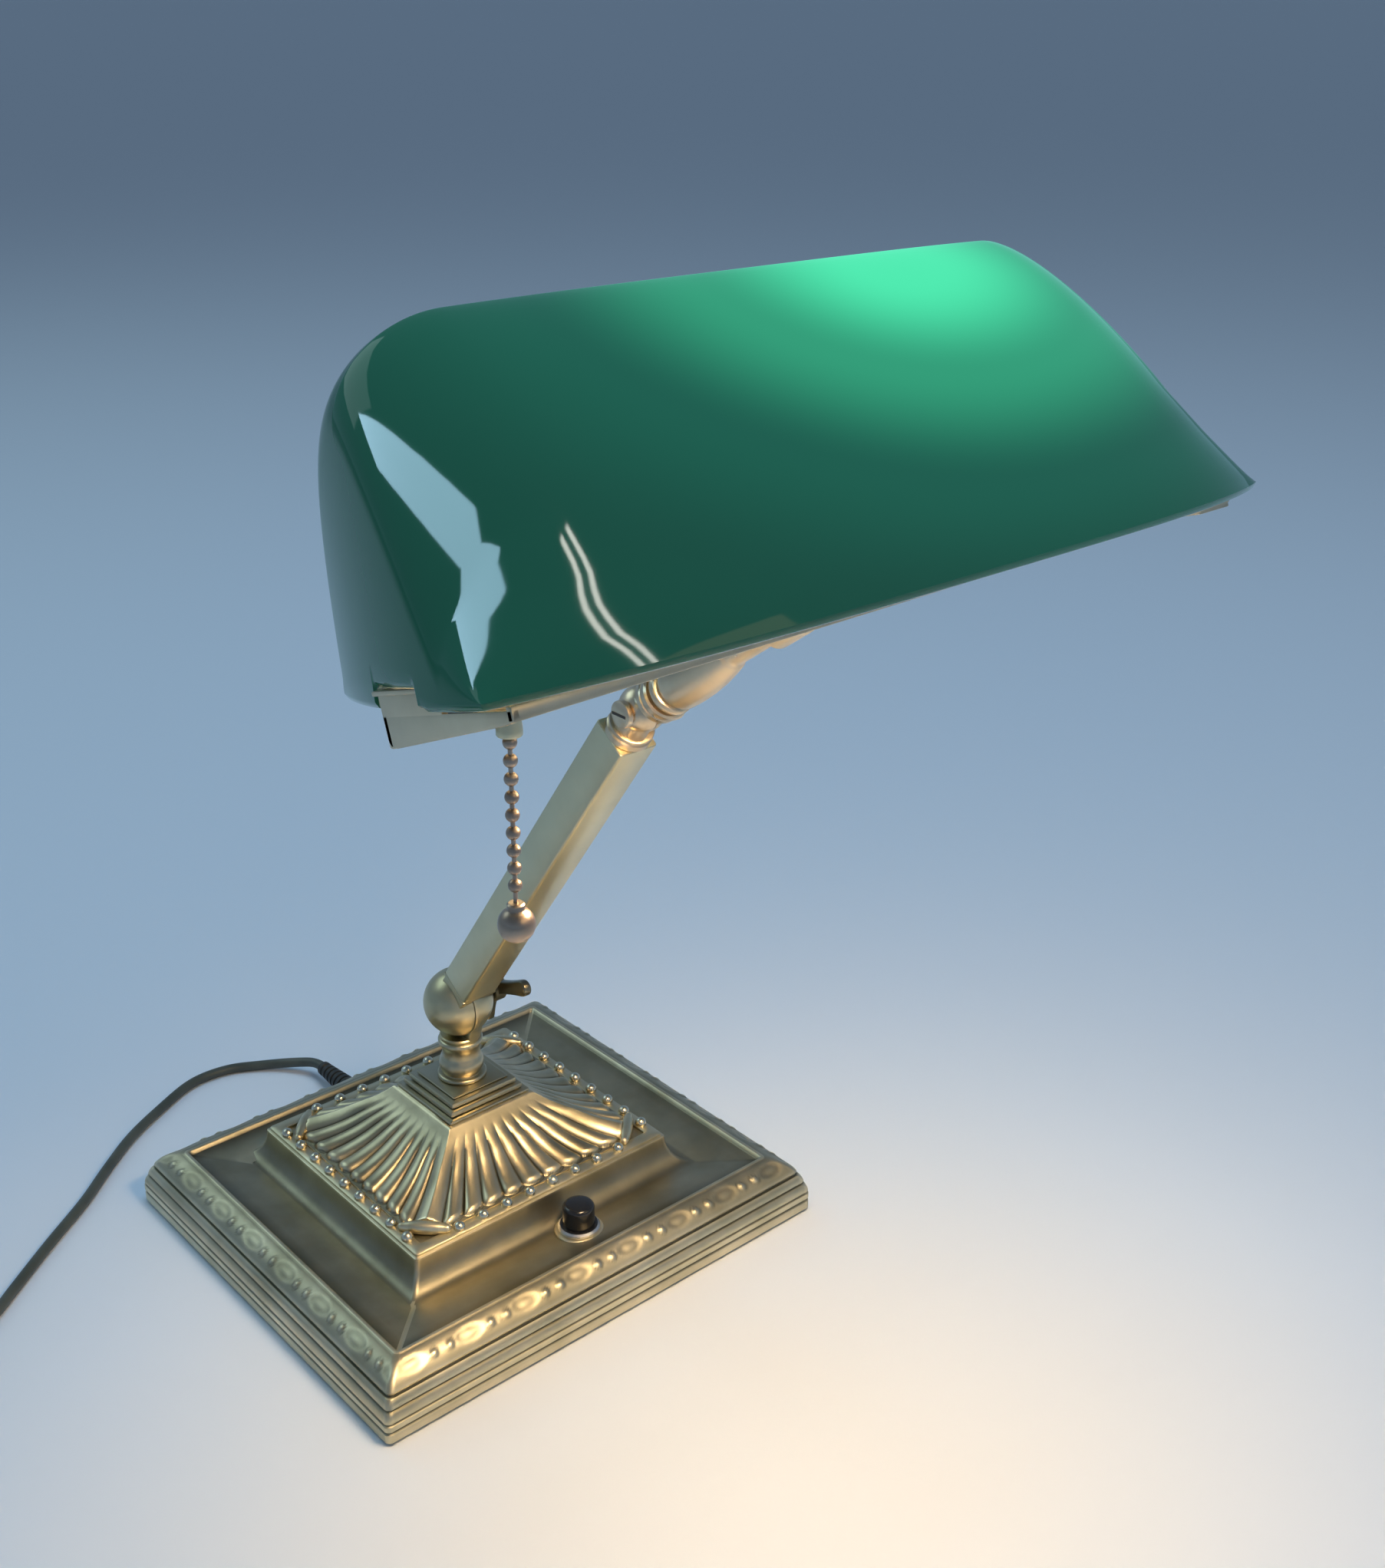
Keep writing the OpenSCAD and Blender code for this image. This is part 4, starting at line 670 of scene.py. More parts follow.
# Stepped plinth. Four square brass slabs, each a little smaller than the one below.
plinth = []
for half, low, high in ((15, 42.1, 43.4), (13.4, 43.3, 45.35), (12.1, 45.25, 47.3), (10.3, 47.2, 48)):
    plinth.append(ringed([
        (half - 0.8, half - 0.8, 0.4, low, 0), (half - 0.8, half - 0.8, 0.4, low + 0.45, 0),
        (half - 0.1, half - 0.1, 0.5, low + 0.5, 0), (half, half, 0.5, low + 0.6, 0),
        (half, half, 0.5, high - 0.35, 0), (half - 0.1, half - 0.1, 0.5, high - 0.1, 0),
        (half - 0.35, half - 0.35, 0.5, high, 0),
    ]))
plinth_finish = antique_brass("plinth_brass", (0.48, 0.44, 0.31), (0.42, 0.385, 0.27), 0.34)
piece("plinth_steps", placed(gathered(*plinth), Matrix.Translation((0, column_y, 0))), "base",
      plinth_finish, 30, ["stepped_plinth"])

# Neck. Turned from brass bar on the plinth: a bright foot ring, a waist and a collar.
neck_finish = antique_brass("neck_brass", (0.54, 0.48, 0.32), (0.42, 0.37, 0.25), 0.32, pits=0.04)
neck = turned(
    [(5.2, 48), (7.0, 48)] + arc((7.0, 48.75), 0.75, -90, 90, 8) + [(6.2, 49.6)]
    + bowed((6.15, 49.8), (6.0, 55.5), -0.9, 8) + bowed((6.0, 55.9), (6.9, 60.1), 0.5, 6)
    + [(6.95, 60.4), (6.95, 61.2), (6.7, 61.6), (6.3, 61.8), (5.2, 61.8)]
)
piece("neck_turning", placed(neck, Matrix.Translation((0, column_y, 0))), "base",
      neck_finish, 40, ["neck_column"])

# Lower knuckle. A brass ball split down the middle: the right half grows from the neck's post, the
# left half from a square shank that carries the arm. The wing screw clamps the two.
pivot_z = 74.2
ball_r = 10.8
split_x = -1
pivot = Matrix.Translation((0, column_y, pivot_z))
knuckle_finish = antique_brass("knuckle_brass", (0.62, 0.54, 0.34), (0.50, 0.44, 0.28), 0.33, pits=0.03)


def halved(shape, x, keep_right):
    """The part of a closed shape on one side of the plane at x, its cut face filled."""
    cut = bmesh.ops.bisect_plane(
        shape, geom=shape.verts[:] + shape.edges[:] + shape.faces[:], dist=0.0001,
        plane_co=(x, 0, 0), plane_no=(1, 0, 0), clear_outer=not keep_right, clear_inner=keep_right,
    )["geom_cut"]
    rim = [e for e in cut if isinstance(e, bmesh.types.BMEdge)]
    filled = bmesh.ops.contextual_create(shape, geom=rim)["faces"]
    bmesh.ops.recalc_face_normals(shape, faces=shape.faces)
    edges = list({e for face in filled for e in face.edges})
    bmesh.ops.bevel(
        shape, geom=edges, offset=0.35, offset_type="OFFSET", segments=2, profile=0.5,
        affect="EDGES", material=-1,
    )
    return shape


post = halved(turned(
    [(0, -12.3)] + [(6.2, -12.3), (6.6, -11)] + bowed((6.8, -10.4), (7.6, -7.7), 0.1, 4)
    + arc((0, 0), ball_r, -44, 90, 28)[:-1] + [(0, ball_r)], 64,
), split_x, True)
foot_disc = turned([(0, -12.4), (6.2, -12.4), (6.4, -12.1), (6.4, -11.4), (6.1, -11.1), (0, -11.1)])
piece("knuckle_post", placed(gathered(post, foot_disc), pivot), "base",
      knuckle_finish, 40, ["lower_knuckle_post"])

arm_lean = math.radians(35.9)
along_arm = pivot @ Matrix.Rotation(arm_lean, 4, "X")
half_ball = halved(turned(
    [(0, -ball_r)] + arc((0, 0), ball_r, -90, 90, 36)[1:-1] + [(0, ball_r)], 64
), split_x - 0.1, False)
shank = eased(block((-5.5, -5.5, 5), (split_x - 0.1, 5.5, 11.4)), 0.6)
shank_collar = eased(block((-6, -6, 11.2), (6, 6, 12.4)), 0.35)
piece("knuckle_arm_half", placed(gathered(half_ball, shank, shank_collar), along_arm), "arm",
      knuckle_finish, 40, ["arm_lower_knuckle"])

# Wing screw. A cast brass screw with one long paddle wing to the front and a shorter one below.
screw = placed(turned([(0, 11.1), (4.3, 11.1), (4.6, 11.4), (4.6, 15.1), (4.2, 15.5), (0, 15.5)]),
               Matrix.Rotation(math.pi / 2, 4, "Y"))
shank_rod = placed(turned([(0, -7.2), (2.5, -7.2), (2.5, 11.2), (0, 11.2)], 24),
                   Matrix.Rotation(math.pi / 2, 4, "Y"))


def wing(length, root, end, turn):
    """A paddle wing in the YZ plane, pointing along +Y before it is turned about X."""
    flat = bmesh.new()
    tip = arc((length, 0), end / 2, -90, 90, 10)
    outline = [(0, -root / 2)] + bowed((2, -root / 2), (length - 1, -end / 2), 0.35, 5) + tip
    outline += bowed((length - 1, end / 2), (2, root / 2), 0.35, 5) + [(0, root / 2)]
    face = flat.faces.new([flat.verts.new((-1.3, y, z)) for y, z in outline])
    raised = bmesh.ops.extrude_face_region(flat, geom=[face])["geom"]
    bmesh.ops.translate(flat, vec=(2.6, 0, 0), verts=[g for g in raised if isinstance(g, bmesh.types.BMVert)])
    bmesh.ops.recalc_face_normals(flat, faces=flat.faces)
    eased(flat, 0.55, 3, 50)
    return placed(flat, Matrix.Translation((13.3, 0, 0)) @ Matrix.Rotation(math.radians(turn), 4, "X"))


wing_finish = antique_brass("wing_brass", (0.33, 0.29, 0.19), (0.17, 0.155, 0.11), 0.3)
wing_screw = gathered(screw, shank_rod, wing(17.5, 4.6, 5.0, 158), wing(12, 4.2, 3.4, -74))
piece("wing_screw_cast", placed(wing_screw, pivot), "wing_screw", wing_finish, 40,
      ["wing_screw"])

# Arm. A square drawn brass tube, 12 mm wide with small rounded edges, with a turned collar and half
# of the upper ball joint plugged into its top.
tube_end = 142.6
tube = ringed([
    (5.75, 5.75, 0.8, 12.42, 0), (6, 6, 1.0, 12.62, 0), (6, 6, 1.0, tube_end - 0.25, 0),
    (5.75, 5.75, 0.8, tube_end, 0),
])
arm_finish = antique_brass("arm_brass", (0.70, 0.63, 0.42), (0.63, 0.57, 0.38), 0.34, pits=0.02)
piece("arm_square_tube", placed(tube, along_arm), "arm", arm_finish, 30, ["arm_tube"])

arm_length = 153
upper_r = 6.2
upper_finish = antique_brass("upper_knuckle_brass", (0.74, 0.60, 0.42), (0.60, 0.48, 0.33), 0.3, pits=0.02)
collar = turned([
    (0, 142.6), (6.0, 142.6), (6.3, 142.9), (6.3, 144.6), (5.9, 145.0), (5.9, 145.4), (6.2, 145.7),
    (6.1, 146.2), (5.7, 146.4), (0, 146.4),
])
lobe = halved(turned(
    [(0, -6.7), (5.4, -6.7), (5.6, -6.2), (5.6, -2.8)] + arc((0, 0), upper_r, -24, 90, 20)[:-1]
    + [(0, upper_r)]
), -0.05, False)
placed(lobe, Matrix.Translation((0, 0, arm_length)))
piece("arm_top_joint", placed(gathered(collar, lobe), along_arm), "arm",
      upper_finish, 40, ["arm_top_knuckle"])

# Upper knuckle's screw and thumb nut. A brass cheese-head screw through both half balls, with its
# threaded end on the right standing out of a knurled brass nut.
hub = Matrix.Translation((
    0, column_y - arm_length * math.sin(arm_lean), pivot_z + arm_length * math.cos(arm_lean)
))
across_hub = hub @ Matrix.Rotation(math.pi / 2, 4, "Y")
screw_end = upper_r + 0.3 + 4.8 + 7
head = [(0, -7.6), (2.9, -7.6), (3.5, -7.2), (3.6, -6.4), (3.6, -5.9), (2, -5.9)]
threads = []
step = upper_r + 5.2
while step < screw_end - 0.9:
    threads += [(2, step), (1.72, step + 0.35)]
    step += 0.7
pivot_screw = turned(head + [(2, upper_r + 5)] + threads + [(1.9, screw_end - 0.3), (1.4, screw_end),
                                                            (0, screw_end)], 32)
# Painted shadow: a thin dark plate on the screw's head stands in for the shade in its slot.
slot_shadow_plate = block((-7.75, -2.6, -0.35), (-7.58, 2.6, 0.35))
piece("upper_screw", placed(pivot_screw, across_hub), "arm", upper_finish, 35,
      ["upper_pivot_screw"])
piece("upper_screw_slot_shadow", placed(slot_shadow_plate, hub), "arm", black_rubber_and_slot_shadow)
knurled = turned([
    (2.05, 6.5), (5.0, 6.5), (5.35, 6.8), (5.35, 9.9), (5.0, 10.3), (4.7, 10.4), (4.5, 11.2),
    (4.1, 11.3), (2.05, 11.3),
], 72)
for vert in knurled.verts:
    if math.hypot(vert.co.x, vert.co.y) > 5.2 and round(math.degrees(math.atan2(vert.co.y, vert.co.x)) / 5) % 2:
        vert.co.x *= 0.955
        vert.co.y *= 0.955
piece("knurled_nut", placed(knurled, across_hub), "thumb_nut", upper_finish, 25,
      ["upper_thumb_nut"])

# Head knuckle and stem. The other half ball with its ring, then a turned brass stem whose threaded
# tube holds the fitter frame with a hexagon nut.
stem_rise = math.radians(35.7)
stem_length = 63.3
along_stem = hub @ Matrix.Rotation(math.pi / 2 - stem_rise, 4, "X")
head_half = halved(turned(
    [(0, -upper_r)] + arc((0, 0), upper_r, -90, 26, 20)[1:] + [(5.6, 2.9), (5.6, 6.2), (5.4, 6.82),
                                                              (0, 6.82)]
), 0.05, True)
ring = turned([
    (3.45, 6.8), (6.1, 6.8), (6.5, 7.2), (6.5, 8.6), (6.2, 8.9), (6.2, 9.3), (6.5, 9.6), (6.5, 10.9),
    (6.0, 11.4), (3.45, 11.4),
])
piece("head_half_ball", placed(gathered(head_half, ring), along_stem), "head",
      upper_finish, 40, ["head_knuckle"])
stem_finish = antique_brass("stem_brass", (0.80, 0.64, 0.44), (0.66, 0.53, 0.36), 0.3, pits=0.02)
stem = turned(
    [(1.9, 11.5), (4.9, 11.5), (4.9, 12.2)] + arc((5.0, 13.7), 1.4, -80, 80, 8)
    + [(4.5, 15.3), (4.5, 15.7)] + bowed((4.6, 15.8), (6.1, 16.9), -0.25, 4)
    + bowed((6.3, 17.6), (4.2, 39.3), -0.8, 14) + bowed((4.1, 39.6), (3.4, 41.4), 0.2, 4)
    + [(3.4, 70), (1.9, 70)], 56,
)
piece("turned_stem", placed(stem, along_stem), "head", stem_finish, 40, ["head_stem"])

hexagon = turned([(3.45, 66.5), (5.2, 66.5), (5.4, 66.8), (5.4, 69.2), (5.2, 69.5), (3.45, 69.5)], 6)
piece("stem_hexagon_nut", placed(hexagon, along_stem), "head", arm_finish, 30,
      ["stem_nut"])

# Fitter frame. Brass strip, 1.6 mm thick: two rails, a shelf and a shaped plate at each end, and a
# tab with a folded ledge that stands in the notch of the glass. The saddle on the back rail takes
# the stem.
shade_tilt = math.radians(18.3)
frame_half = 104.5
frame_front = 20
frame_back = 63
stem_along = Vector((0, -math.cos(stem_rise), math.sin(stem_rise)))
lean = Matrix.Rotation(-shade_tilt, 4, "X")
back_rail_place = hub.to_translation() + stem_length * stem_along
in_shade = Matrix.Translation(back_rail_place - lean @ Vector((0, frame_back, -4.3))) @ lean


def cut_strip(outline, x=0, thick=1.6):
    """A strip cut to the outline of points v behind the lip and h above it, its outer face at x."""
    shape = bmesh.new()
    face = shape.faces.new([shape.verts.new((x, v, h)) for v, h in outline])
    drawn = bmesh.ops.extrude_face_region(shape, geom=[face])["geom"]
    bmesh.ops.translate(shape, vec=(-math.copysign(thick, x), 0, 0),
                        verts=[g for g in drawn if isinstance(g, bmesh.types.BMVert)])
    bmesh.ops.recalc_face_normals(shape, faces=shape.faces)
    return shape


front_rail = block((-frame_half, frame_front, -3.4), (frame_half, frame_front + 1.6, -0.4))
for vert in front_rail.verts:
    if vert.co.z < -1 and vert.co.x > 0:
        vert.co.z = -1.7
rails = [
    eased(front_rail, 0.3),
    eased(block((-frame_half, frame_back - 1.6, -7.4), (frame_half, frame_back, -1)), 0.3),
]
for side, front_h in ((-1, -3.9), (1, -2.4)):
    plate = cut_strip([
        (20, -1.2), (63, -1.2), (63, -6.0), (62.3, -7.1), (60.6, -7.4), (23, front_h),
        (20.6, front_h + 0.5), (20, front_h + 0.8),
    ], side * frame_half)
    rails.append(eased(plate, 0.25, 2, 40))
    low, high = sorted((side * (frame_half - 12), side * (frame_half - 0.2)))
    rails.append(eased(block((low, 20.2, -2.7), (high, 62.8, -1.2)), 0.25))
    tab = cut_strip([(42.1, -1.6), (63, -1.6), (63, 3.7), (42.1, 3.7)], side * frame_half)
    rails.append(eased(tab, 0.2))
    low, high = sorted((side * (frame_half - 1.8), side * (frame_half + 1.2)))
    rails.append(eased(block((low, 42.1, 2.8), (high, 63, 3.8)), 0.3))
frame_shape = placed(gathered(*rails), in_shade)
saddle = turned([(3.45, 56.3), (4.9, 56.3), (5.2, 56.7), (5.2, 66.1), (4.9, 66.5), (3.45, 66.5)])
frame_finish = antique_brass("frame_brass", (0.74, 0.62, 0.43), (0.62, 0.51, 0.35), 0.32, pits=0.03)
piece("brass_frame", gathered(frame_shape, placed(saddle, along_stem)), "head",
      frame_finish, 35, ["fitter_frame"])

# Glass shade. Cased glass, 4 mm thick, emerald outside and opal inside, blown into a mould: a long
# dome with a rounded ridge, a flat sloping front and a notch in each end wall. The rim is polished.
shade_width = 224
shade_taper = 40
shade_depth = 99
shade_height = 69.6
ridge_back = 54
glass_wall = 4
lip_bow = 17
rim_round = 1.5
notch_front = 40.5
notch_back = 64.5
notch_rise = 4.2
wall_cols = 132
shoulder_w = 26
shoulder_low_w = 14
shoulder_h = 20
shoulder_low_h = 16
end_draft = 0.045
taper_power = 1.8
flat_share = 0.4
wall_share = 0.86


def skin_point(across, depth, skin):
    """A point of the glass: across -1 to 1 end to end, depth -1 at the lip over 0 to 1 at the back."""
    power = 1.25 if depth < 0 else 2.4
    rise = max(0, 1 - abs(depth) ** power) ** (1 / power)
    front = 5 * skin / glass_wall
    v = front + (ridge_back - front) * (1 + depth) if depth < 0 else (
        ridge_back + (shade_depth - ridge_back - skin) * depth
    )
    half = (shade_width - shade_taper * (v / shade_depth) ** taper_power) / 2 - skin
    height = (shade_height - skin) * rise
    low = 1 - height / shade_height
    shoulder = min(0.92 * height, shoulder_h + shoulder_low_h * low)
    inset = shoulder_w + shoulder_low_w * low
    share = abs(across)
    if share < flat_share:
        x, h = (half - inset) * share / flat_share, height
    elif share < wall_share:
        angle = math.pi / 2 * (share - flat_share) / (wall_share - flat_share)
        x = half - inset * (1 - math.sin(angle))
        h = height - shoulder * (1 - math.cos(angle))
    else:
        x, h = half, (height - shoulder) * (1 - share) / (1 - wall_share)
    bow = (x / half) ** 3.5
    x *= 1 - end_draft * h / shade_height
    return math.copysign(x, across), v + lip_bow * bow * (1 - v / shade_depth), h


def rim_lift(v, at_end):
    """How far the glass starts above its open side: the rim's rounding, and the notch at the ends."""
    corner = 1.8
    inside = min(v - notch_front, notch_back - v)
    if not at_end or inside <= 0:
        return rim_round
    if inside >= corner:
        return rim_round + notch_rise
    return rim_round + notch_rise - corner + math.sqrt(corner ** 2 - (corner - inside) ** 2)


def depth_of(v):
    """The depth, -1 to 1, at which the end wall's rim stands at v behind the lip."""
    along = (v - lip_bow) / (1 - lip_bow / shade_depth)
    if along < ridge_back:
        return along / ridge_back - 1
    return (along - ridge_back) / (shade_depth - ridge_back)


depths = []
for i in range(31):
    angle = math.radians(90 * i / 30)
    for sign, power in ((-1, 1.25), (1, 2.4)):
        a, b = math.cos(angle), math.sin(angle)
        depths.append(sign * a / (a ** power + b ** power) ** (1 / power))
for edge in (notch_front, notch_back):
    depths += [depth_of(edge + k * 0.3 * (1 if edge == notch_front else -1)) for k in range(-4, 12)]
depths = sorted(set(round(d, 5) for d in depths))
depths = [d for i, d in enumerate(depths) if i == 0 or d - depths[i - 1] > 0.0015]
glass = bmesh.new()
skin_share = glass.verts.layers.float.new("skin_share")
skins = []
for skin in (0, glass_wall):
    made = bmesh.ops.create_grid(
        glass, x_segments=wall_cols, y_segments=len(depths) - 1, size=1
    )["verts"]
    for vert in made:
        i = round((vert.co.x + 1) / 2 * wall_cols)
        j = round((vert.co.y + 1) / 2 * (len(depths) - 1))
        x, v, h = skin_point(2 * i / wall_cols - 1, depths[j], skin)
        at_end = abs(x) > 0.86 * (shade_width - shade_taper * (v / shade_depth) ** taper_power) / 2
        if i in (0, wall_cols) or j in (0, len(depths) - 1):
            h = 0
        lift = rim_lift(v, at_end)
        lifted = max(h, lift + h * (1 - lift / 16)) if h < 16 else h
        x *= (1 - end_draft * lifted / shade_height) / (1 - end_draft * h / shade_height)
        vert.co = (x, v, lifted)
        vert[skin_share] = skin / glass_wall
    skins.append(made)
outer_verts = set(skins[0])
rims = [e for e in glass.edges if len(e.link_faces) == 1]
outer_faces = {f for v in skins[0] for f in v.link_faces}
made = bmesh.ops.bridge_loops(glass, edges=rims)
across = [e for e in made["edges"] if (e.verts[0] in outer_verts) != (e.verts[1] in outer_verts)]
cuts = 5
bmesh.ops.subdivide_edges(glass, edges=across, cuts=cuts, use_grid_fill=True)
skin_share = glass.verts.layers.float["skin_share"]
for vert in glass.verts:
    share = vert[skin_share]
    if 0.001 < share < 0.999:
        vert.co.z -= rim_round * (1 - abs(2 * share - 1) ** 2.4) ** (1 / 2.4)
bmesh.ops.recalc_face_normals(glass, faces=glass.faces)
for face in glass.faces:
    shares = [vert[skin_share] for vert in face.verts]
    face.material_index = 0 if max(shares) < 0.3 else 2 if min(shares) > 0.9 else 1

emerald, shader, tree = shaded("emerald_glass", (0.022, 0.125, 0.073), 0.05)
shader.inputs["Specular IOR Level"].default_value = 0.18


def painted_glow(tree, shader, colours, centre, reach, strength):
    """Painted glow: the bulb's light through the glass, painted as emission, strongest at the centre, on the
    piece's coordinates.
    """
    place = tree.nodes.new("ShaderNodeTexCoord")
    turn = tree.nodes.new("ShaderNodeMapping")
    turn.vector_type = "TEXTURE"
    turn.inputs["Location"].default_value = centre
    turn.inputs["Rotation"].default_value = (-shade_tilt, 0, 0)
    turn.inputs["Scale"].default_value = reach
    ball = tree.nodes.new("ShaderNodeTexGradient")
    ball.gradient_type = "SPHERICAL"
    ramp = tree.nodes.new("ShaderNodeValToRGB")
    ramp.color_ramp.interpolation = "EASE"
    while len(ramp.color_ramp.elements) < len(colours):
        ramp.color_ramp.elements.new(0.5)
    for element, (position, colour) in zip(ramp.color_ramp.elements, colours):
        element.position = position
        element.color = (*colour, 1)
    tree.links.new(place.outputs["Object"], turn.inputs["Vector"])
    tree.links.new(turn.outputs["Vector"], ball.inputs["Vector"])
    tree.links.new(ball.outputs["Fac"], ramp.inputs["Fac"])
    tree.links.new(ramp.outputs["Color"], shader.inputs["Emission Color"])
    shader.inputs["Emission Strength"].default_value = strength


# Painted glow on the emerald outside, where the bulb shines through.
painted_glow(tree, shader, (
    (0.0, (0.001, 0.008, 0.005)), (0.3, (0.002, 0.04, 0.024)), (0.6, (0.02, 0.26, 0.13)),
    (0.9, (0.06, 0.74, 0.36)),
), (0.036, -0.128, 0.300), (0.14, 0.09, 0.09), 1.0)
rough_up(tree, shader, grain(tree, 26, 2), 0.25, 0.25)
opal, shader, tree = shaded("opal_glass", (0.86, 0.90, 0.86), 0.25)
# Painted glow on the opal lining, where the bulb lights it.
painted_glow(tree, shader, (
    (0.0, (0.25, 0.22, 0.15)), (0.5, (0.6, 0.48, 0.3)), (1.0, (1.0, 0.82, 0.55)),
), (-0.01, -0.15, 0.26), (0.13, 0.07, 0.07), 0.7)
rough_up(tree, shader, grain(tree, 40, 2), 0.1, 0.3)
rim_glass, shader, tree = shaded("polished_rim", (0.16, 0.30, 0.24), 0.12)
shader.inputs["Coat Weight"].default_value = 0.5
mottle(tree, shader, grain(tree, 60, 2), ((0.10, 0.22, 0.17), (0.22, 0.36, 0.30)))
shade_glass = piece("cased_glass", placed(glass, in_shade), "head",
                    (emerald, rim_glass, opal), 50, ["glass_shade"])
glass_glints.objects.link(shade_glass)

# Lampholder. A steel bracket on the left shelf, a spun brass cap and shell with two rolled beads, and
# a ceramic core; a nickel-plated screw cap and a frosted tubular bulb in it, which is lit.
holder_v = 44
holder_h = 18
holder_start = -frame_half + 7.6 + 1.5
along_holder = (
    in_shade @ Matrix.Translation((holder_start, holder_v, holder_h)) @ Matrix.Rotation(math.pi / 2, 4, "Y")
)
cap = turned(
    [(0, -3.2), (4.9, -3.2), (4.9, 0), (8.3, 0), (8.5, 0.2), (8.5, 1.2)]
    + bowed((9.2, 1.6), (15.5, 10), -2.2, 12) + [(15.5, 16.6), (15.2, 17), (14.3, 17), (14.3, 11),
                                                   (8, 3.4), (0, 3.4)], 56,
)
shell = turned(
    [(14.5, 17), (15.5, 17)] + arc((15.1, 19.2), 1.1, -70, 70, 6) + [(15.5, 20.6), (15.5, 42.8)]
    + arc((15.1, 44.8), 1.1, -70, 90, 8) + [(14.5, 45.9)], 56,
)
piece("holder_spun_cap", placed(cap, along_holder), "head", arm_finish, 35,
      ["holder_cap"])
piece("holder_spun_shell", placed(shell, along_holder), "head", arm_finish, 35,
      ["holder_shell"])
threads = []
for i in range(5):
    threads += [(13, 29.4 + i * 3.2), (12.3, 31 + i * 3.2)]
screw_cap = turned([(0, 23.2), (4.5, 23.2), (5, 24.8), (9, 26.7), (12.6, 28.2)] + threads
                   + [(13, 45.4), (13, 47), (12.8, 47.2), (0, 47.2)])
piece("bulb_screw_cap", placed(screw_cap, along_holder), "head", steel_finish, 30,
      ["bulb_cap"])
bulb_finish, shader, tree = shaded("frosted_bulb", (0.95, 0.9, 0.8), 0.35)
shader.inputs["Emission Color"].default_value = (1.0, 0.74, 0.45, 1)
shader.inputs["Emission Strength"].default_value = 6.0
rough_up(tree, shader, grain(tree, 800, 2), 0.03, 0.4)
bulb = turned([(0, 47.2), (12.5, 47.2)] + bowed((12.6, 48.2), (14.5, 53.2), -0.5, 6)
              + arc((0, 127.7), 14.5, 0, 90, 14)[:-1] + [(0, 142.2)], 56)
piece("tubular_bulb", placed(bulb, along_holder), "head", bulb_finish, 40,
      ["bulb_glass"])

# Pull chain. Copper-coloured bead chain: hollow balls joined by short links, with a larger ball in a
# collar at its end. It comes out of a small brass bell under the holder's cap.
chain_place = in_shade @ Vector((-frame_half + 14, holder_v, -8.5))
chain_x, chain_y, chain_top = chain_place
bead_radius = 1.4
bead_pitch = 3.65
chain_start = chain_top + bead_pitch * 0.6
chain_end = chain_start - 10 * bead_pitch
bell = turned([
    (1.7, 0), (2.4, 0), (2.5, 0.15), (2.5, 1.2), (2.36, 2.4), (2.3, 3.6), (2.3, 13), (1.7, 13),
], 32)
piece("outlet_bell", placed(bell, Matrix.Translation((chain_x, chain_y, chain_top))), "head",
      arm_finish, 35, ["chain_bell"])
chain = turned([(0, chain_end - 0.2), (0.45, chain_end - 0.2), (0.45, chain_start), (0, chain_start)], 12)
for i in range(10):
    made = bmesh.ops.create_uvsphere(chain, u_segments=20, v_segments=12, radius=bead_radius)["verts"]
    bmesh.ops.translate(chain, verts=made, vec=(0, 0, chain_start - i * bead_pitch))
chain_move = Matrix.Translation((chain_x, chain_y, 0))
piece("bead_chain", placed(chain, chain_move), "chain", copper_finish, 40,
      ["pull_chain"])
pull_r = 3.7
pull_z = chain_end - 1.4 - pull_r + 0.5
pull_ball = turned(
    [(0, pull_z - pull_r)] + arc((0, pull_z), pull_r, -88, 60, 22)
    + [(1.75, chain_end - 1.2), (1.75, chain_end - 0.3), (1.4, chain_end), (0, chain_end)], 40,
)
piece("chain_end_ball", placed(pull_ball, chain_move), "chain", copper_finish, 40,
      ["chain_ball"])

# Strain relief. A tapered black rubber sleeve with ribs, snapped into the back wall of the base.
relief = turned(
    [(0, -5.6), (5.2, -5.6), (5.4, -5.4), (5.4, -3.9), (4, -3.8), (4, 0.1), (4.9, 0.15), (4.9, 1.7)]
    + [p for i in range(7) for p in (
        (3.95 - i * 0.2, 2.5 + i * 2.5), (3.8 - i * 0.2, 4.1 + i * 2.5), (3.1 - i * 0.17, 4.3 + i * 2.5),
        (3.1 - i * 0.17, 4.8 + i * 2.5))] + [(2.6, 20.2), (2.5, 21.8), (2.2, 22), (0, 22)], 40,
)
relief_place = Matrix.Translation((0, base_half_d, 6)) @ Matrix.Rotation(-math.pi / 2, 4, "X")
relief_shape = placed(relief, relief_place)
for vert in relief_shape.verts:
    if vert.co.y < base_half_d - 3.7:
        vert.co.z = max(vert.co.z, 3.2)
piece("ribbed_relief", relief_shape, "base", black_rubber_and_slot_shadow, 30, ["strain_relief"])

# Cord tie and plug. A flat black strap round the coil; a moulded two-pin plug with nickel pins.
tie_in = coil_outer - coil_inner + cord_diameter + 0.6
tie_top = cord_floor + coil_pitch * (coil_layers - 1) + cord_diameter / 2 + 0.3
strap = bmesh.new()
outline = [
    (-tie_in / 2 - 0.9, 0), (-tie_in / 2 - 0.9, tie_top + 0.9), (tie_in / 2 + 0.9, tie_top + 0.9),
    (tie_in / 2 + 0.9, 0), (tie_in / 2, 0), (tie_in / 2, tie_top), (-tie_in / 2, tie_top), (-tie_in / 2, 0),
]
face = strap.faces.new([strap.verts.new((x, -2, z)) for x, z in outline])
drawn = bmesh.ops.extrude_face_region(strap, geom=[face])["geom"]
bmesh.ops.translate(strap, vec=(0, 4, 0), verts=[g for g in drawn if isinstance(g, bmesh.types.BMVert)])
bmesh.ops.recalc_face_normals(strap, faces=strap.faces)
eased(strap, 0.2, 2, 40)
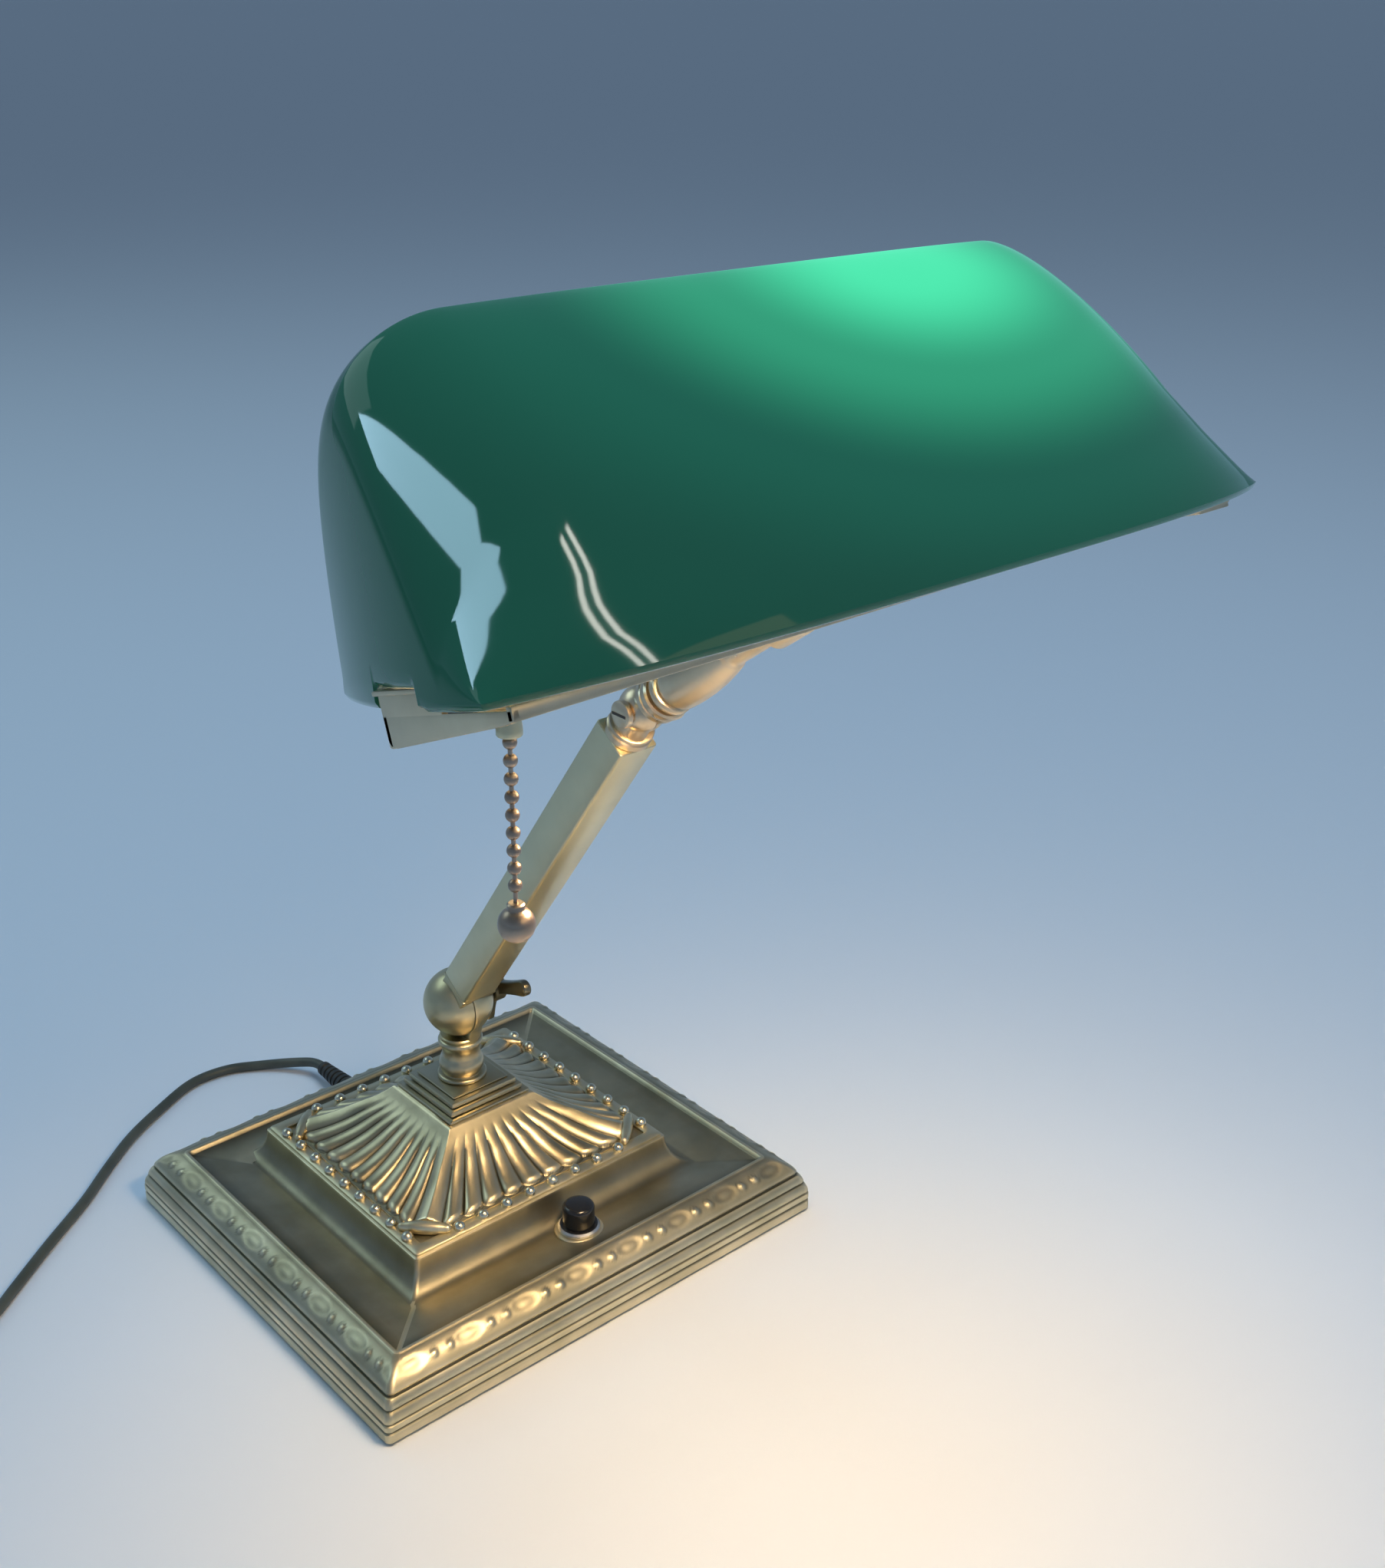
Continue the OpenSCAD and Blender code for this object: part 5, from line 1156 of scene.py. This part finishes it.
tie_move = (
    Matrix.Translation(coil_centre) @ Matrix.Rotation(math.radians(60), 4, "Z")
    @ Matrix.Translation(((coil_outer + coil_inner) / 2, 0, 0))
)
piece("coil_strap", placed(strap, tie_move), "base", black_rubber_and_slot_shadow, 30, ["cord_tie"])
plug_start = tail_start.y + 36
plug = bmesh.new()
outline = [(5, 0)] + bowed((5.5, 4), (13, 28), 1, 8) + [(13, 36)]
outline += [(-x, y) for x, y in reversed(outline)]
face = plug.faces.new([plug.verts.new((x, y, -6.7)) for x, y in outline])
drawn = bmesh.ops.extrude_face_region(plug, geom=[face])["geom"]
bmesh.ops.translate(plug, vec=(0, 0, 13.4), verts=[g for g in drawn if isinstance(g, bmesh.types.BMVert)])
bmesh.ops.recalc_face_normals(plug, faces=plug.faces)
eased(plug, 1.6, 4, 40)
plug_move = Matrix.Translation((tail_start.x, plug_start, plug_height))
piece("moulded_plug", placed(plug, plug_move), "base", black_rubber_and_slot_shadow, 40, ["plug_body"])
for side, name in ((-1, "left"), (1, "right")):
    pin_move = (
        Matrix.Translation((tail_start.x + side * 9.3, plug_start + 30, plug_height))
        @ Matrix.Rotation(-math.pi / 2, 4, "X")
    )
    pin = turned([(0, 0), (2, 0), (2, 23.5)] + arc((0, 23.5), 2, 0, 90, 6)[1:-1] + [(0, 25.5)], 24)
    made = piece("pin_" + name, placed(pin, pin_move), "base", steel_finish, 40,
                 ["plug_pins"] if side < 0 else ())

# Pieces that stay as the solids have them, most of them out of sight: felt, bottom plate and screws,
# ballast on its washer and nut, threaded tube, switch body, leads, pads, bracket and its nut, core.
finish_of = {
    "felt_pad": felt_finish, "bottom_plate": steel_finish, "plate_screws": steel_finish,
    "ballast_weight": iron_finish, "ballast_washer": steel_finish, "tube_nut": bright_finish,
    "threaded_tube": steel_finish, "switch_body": black_gloss, "arm_leads": lead_finish,
    "shade_pads": black_rubber_and_slot_shadow, "holder_bracket": steel_finish, "holder_nut": bright_finish,
    "holder_core": ceramic_finish,
}
for name, finish in finish_of.items():
    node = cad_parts[name]
    node.data.materials.clear()
    node.data.materials.append(finish)
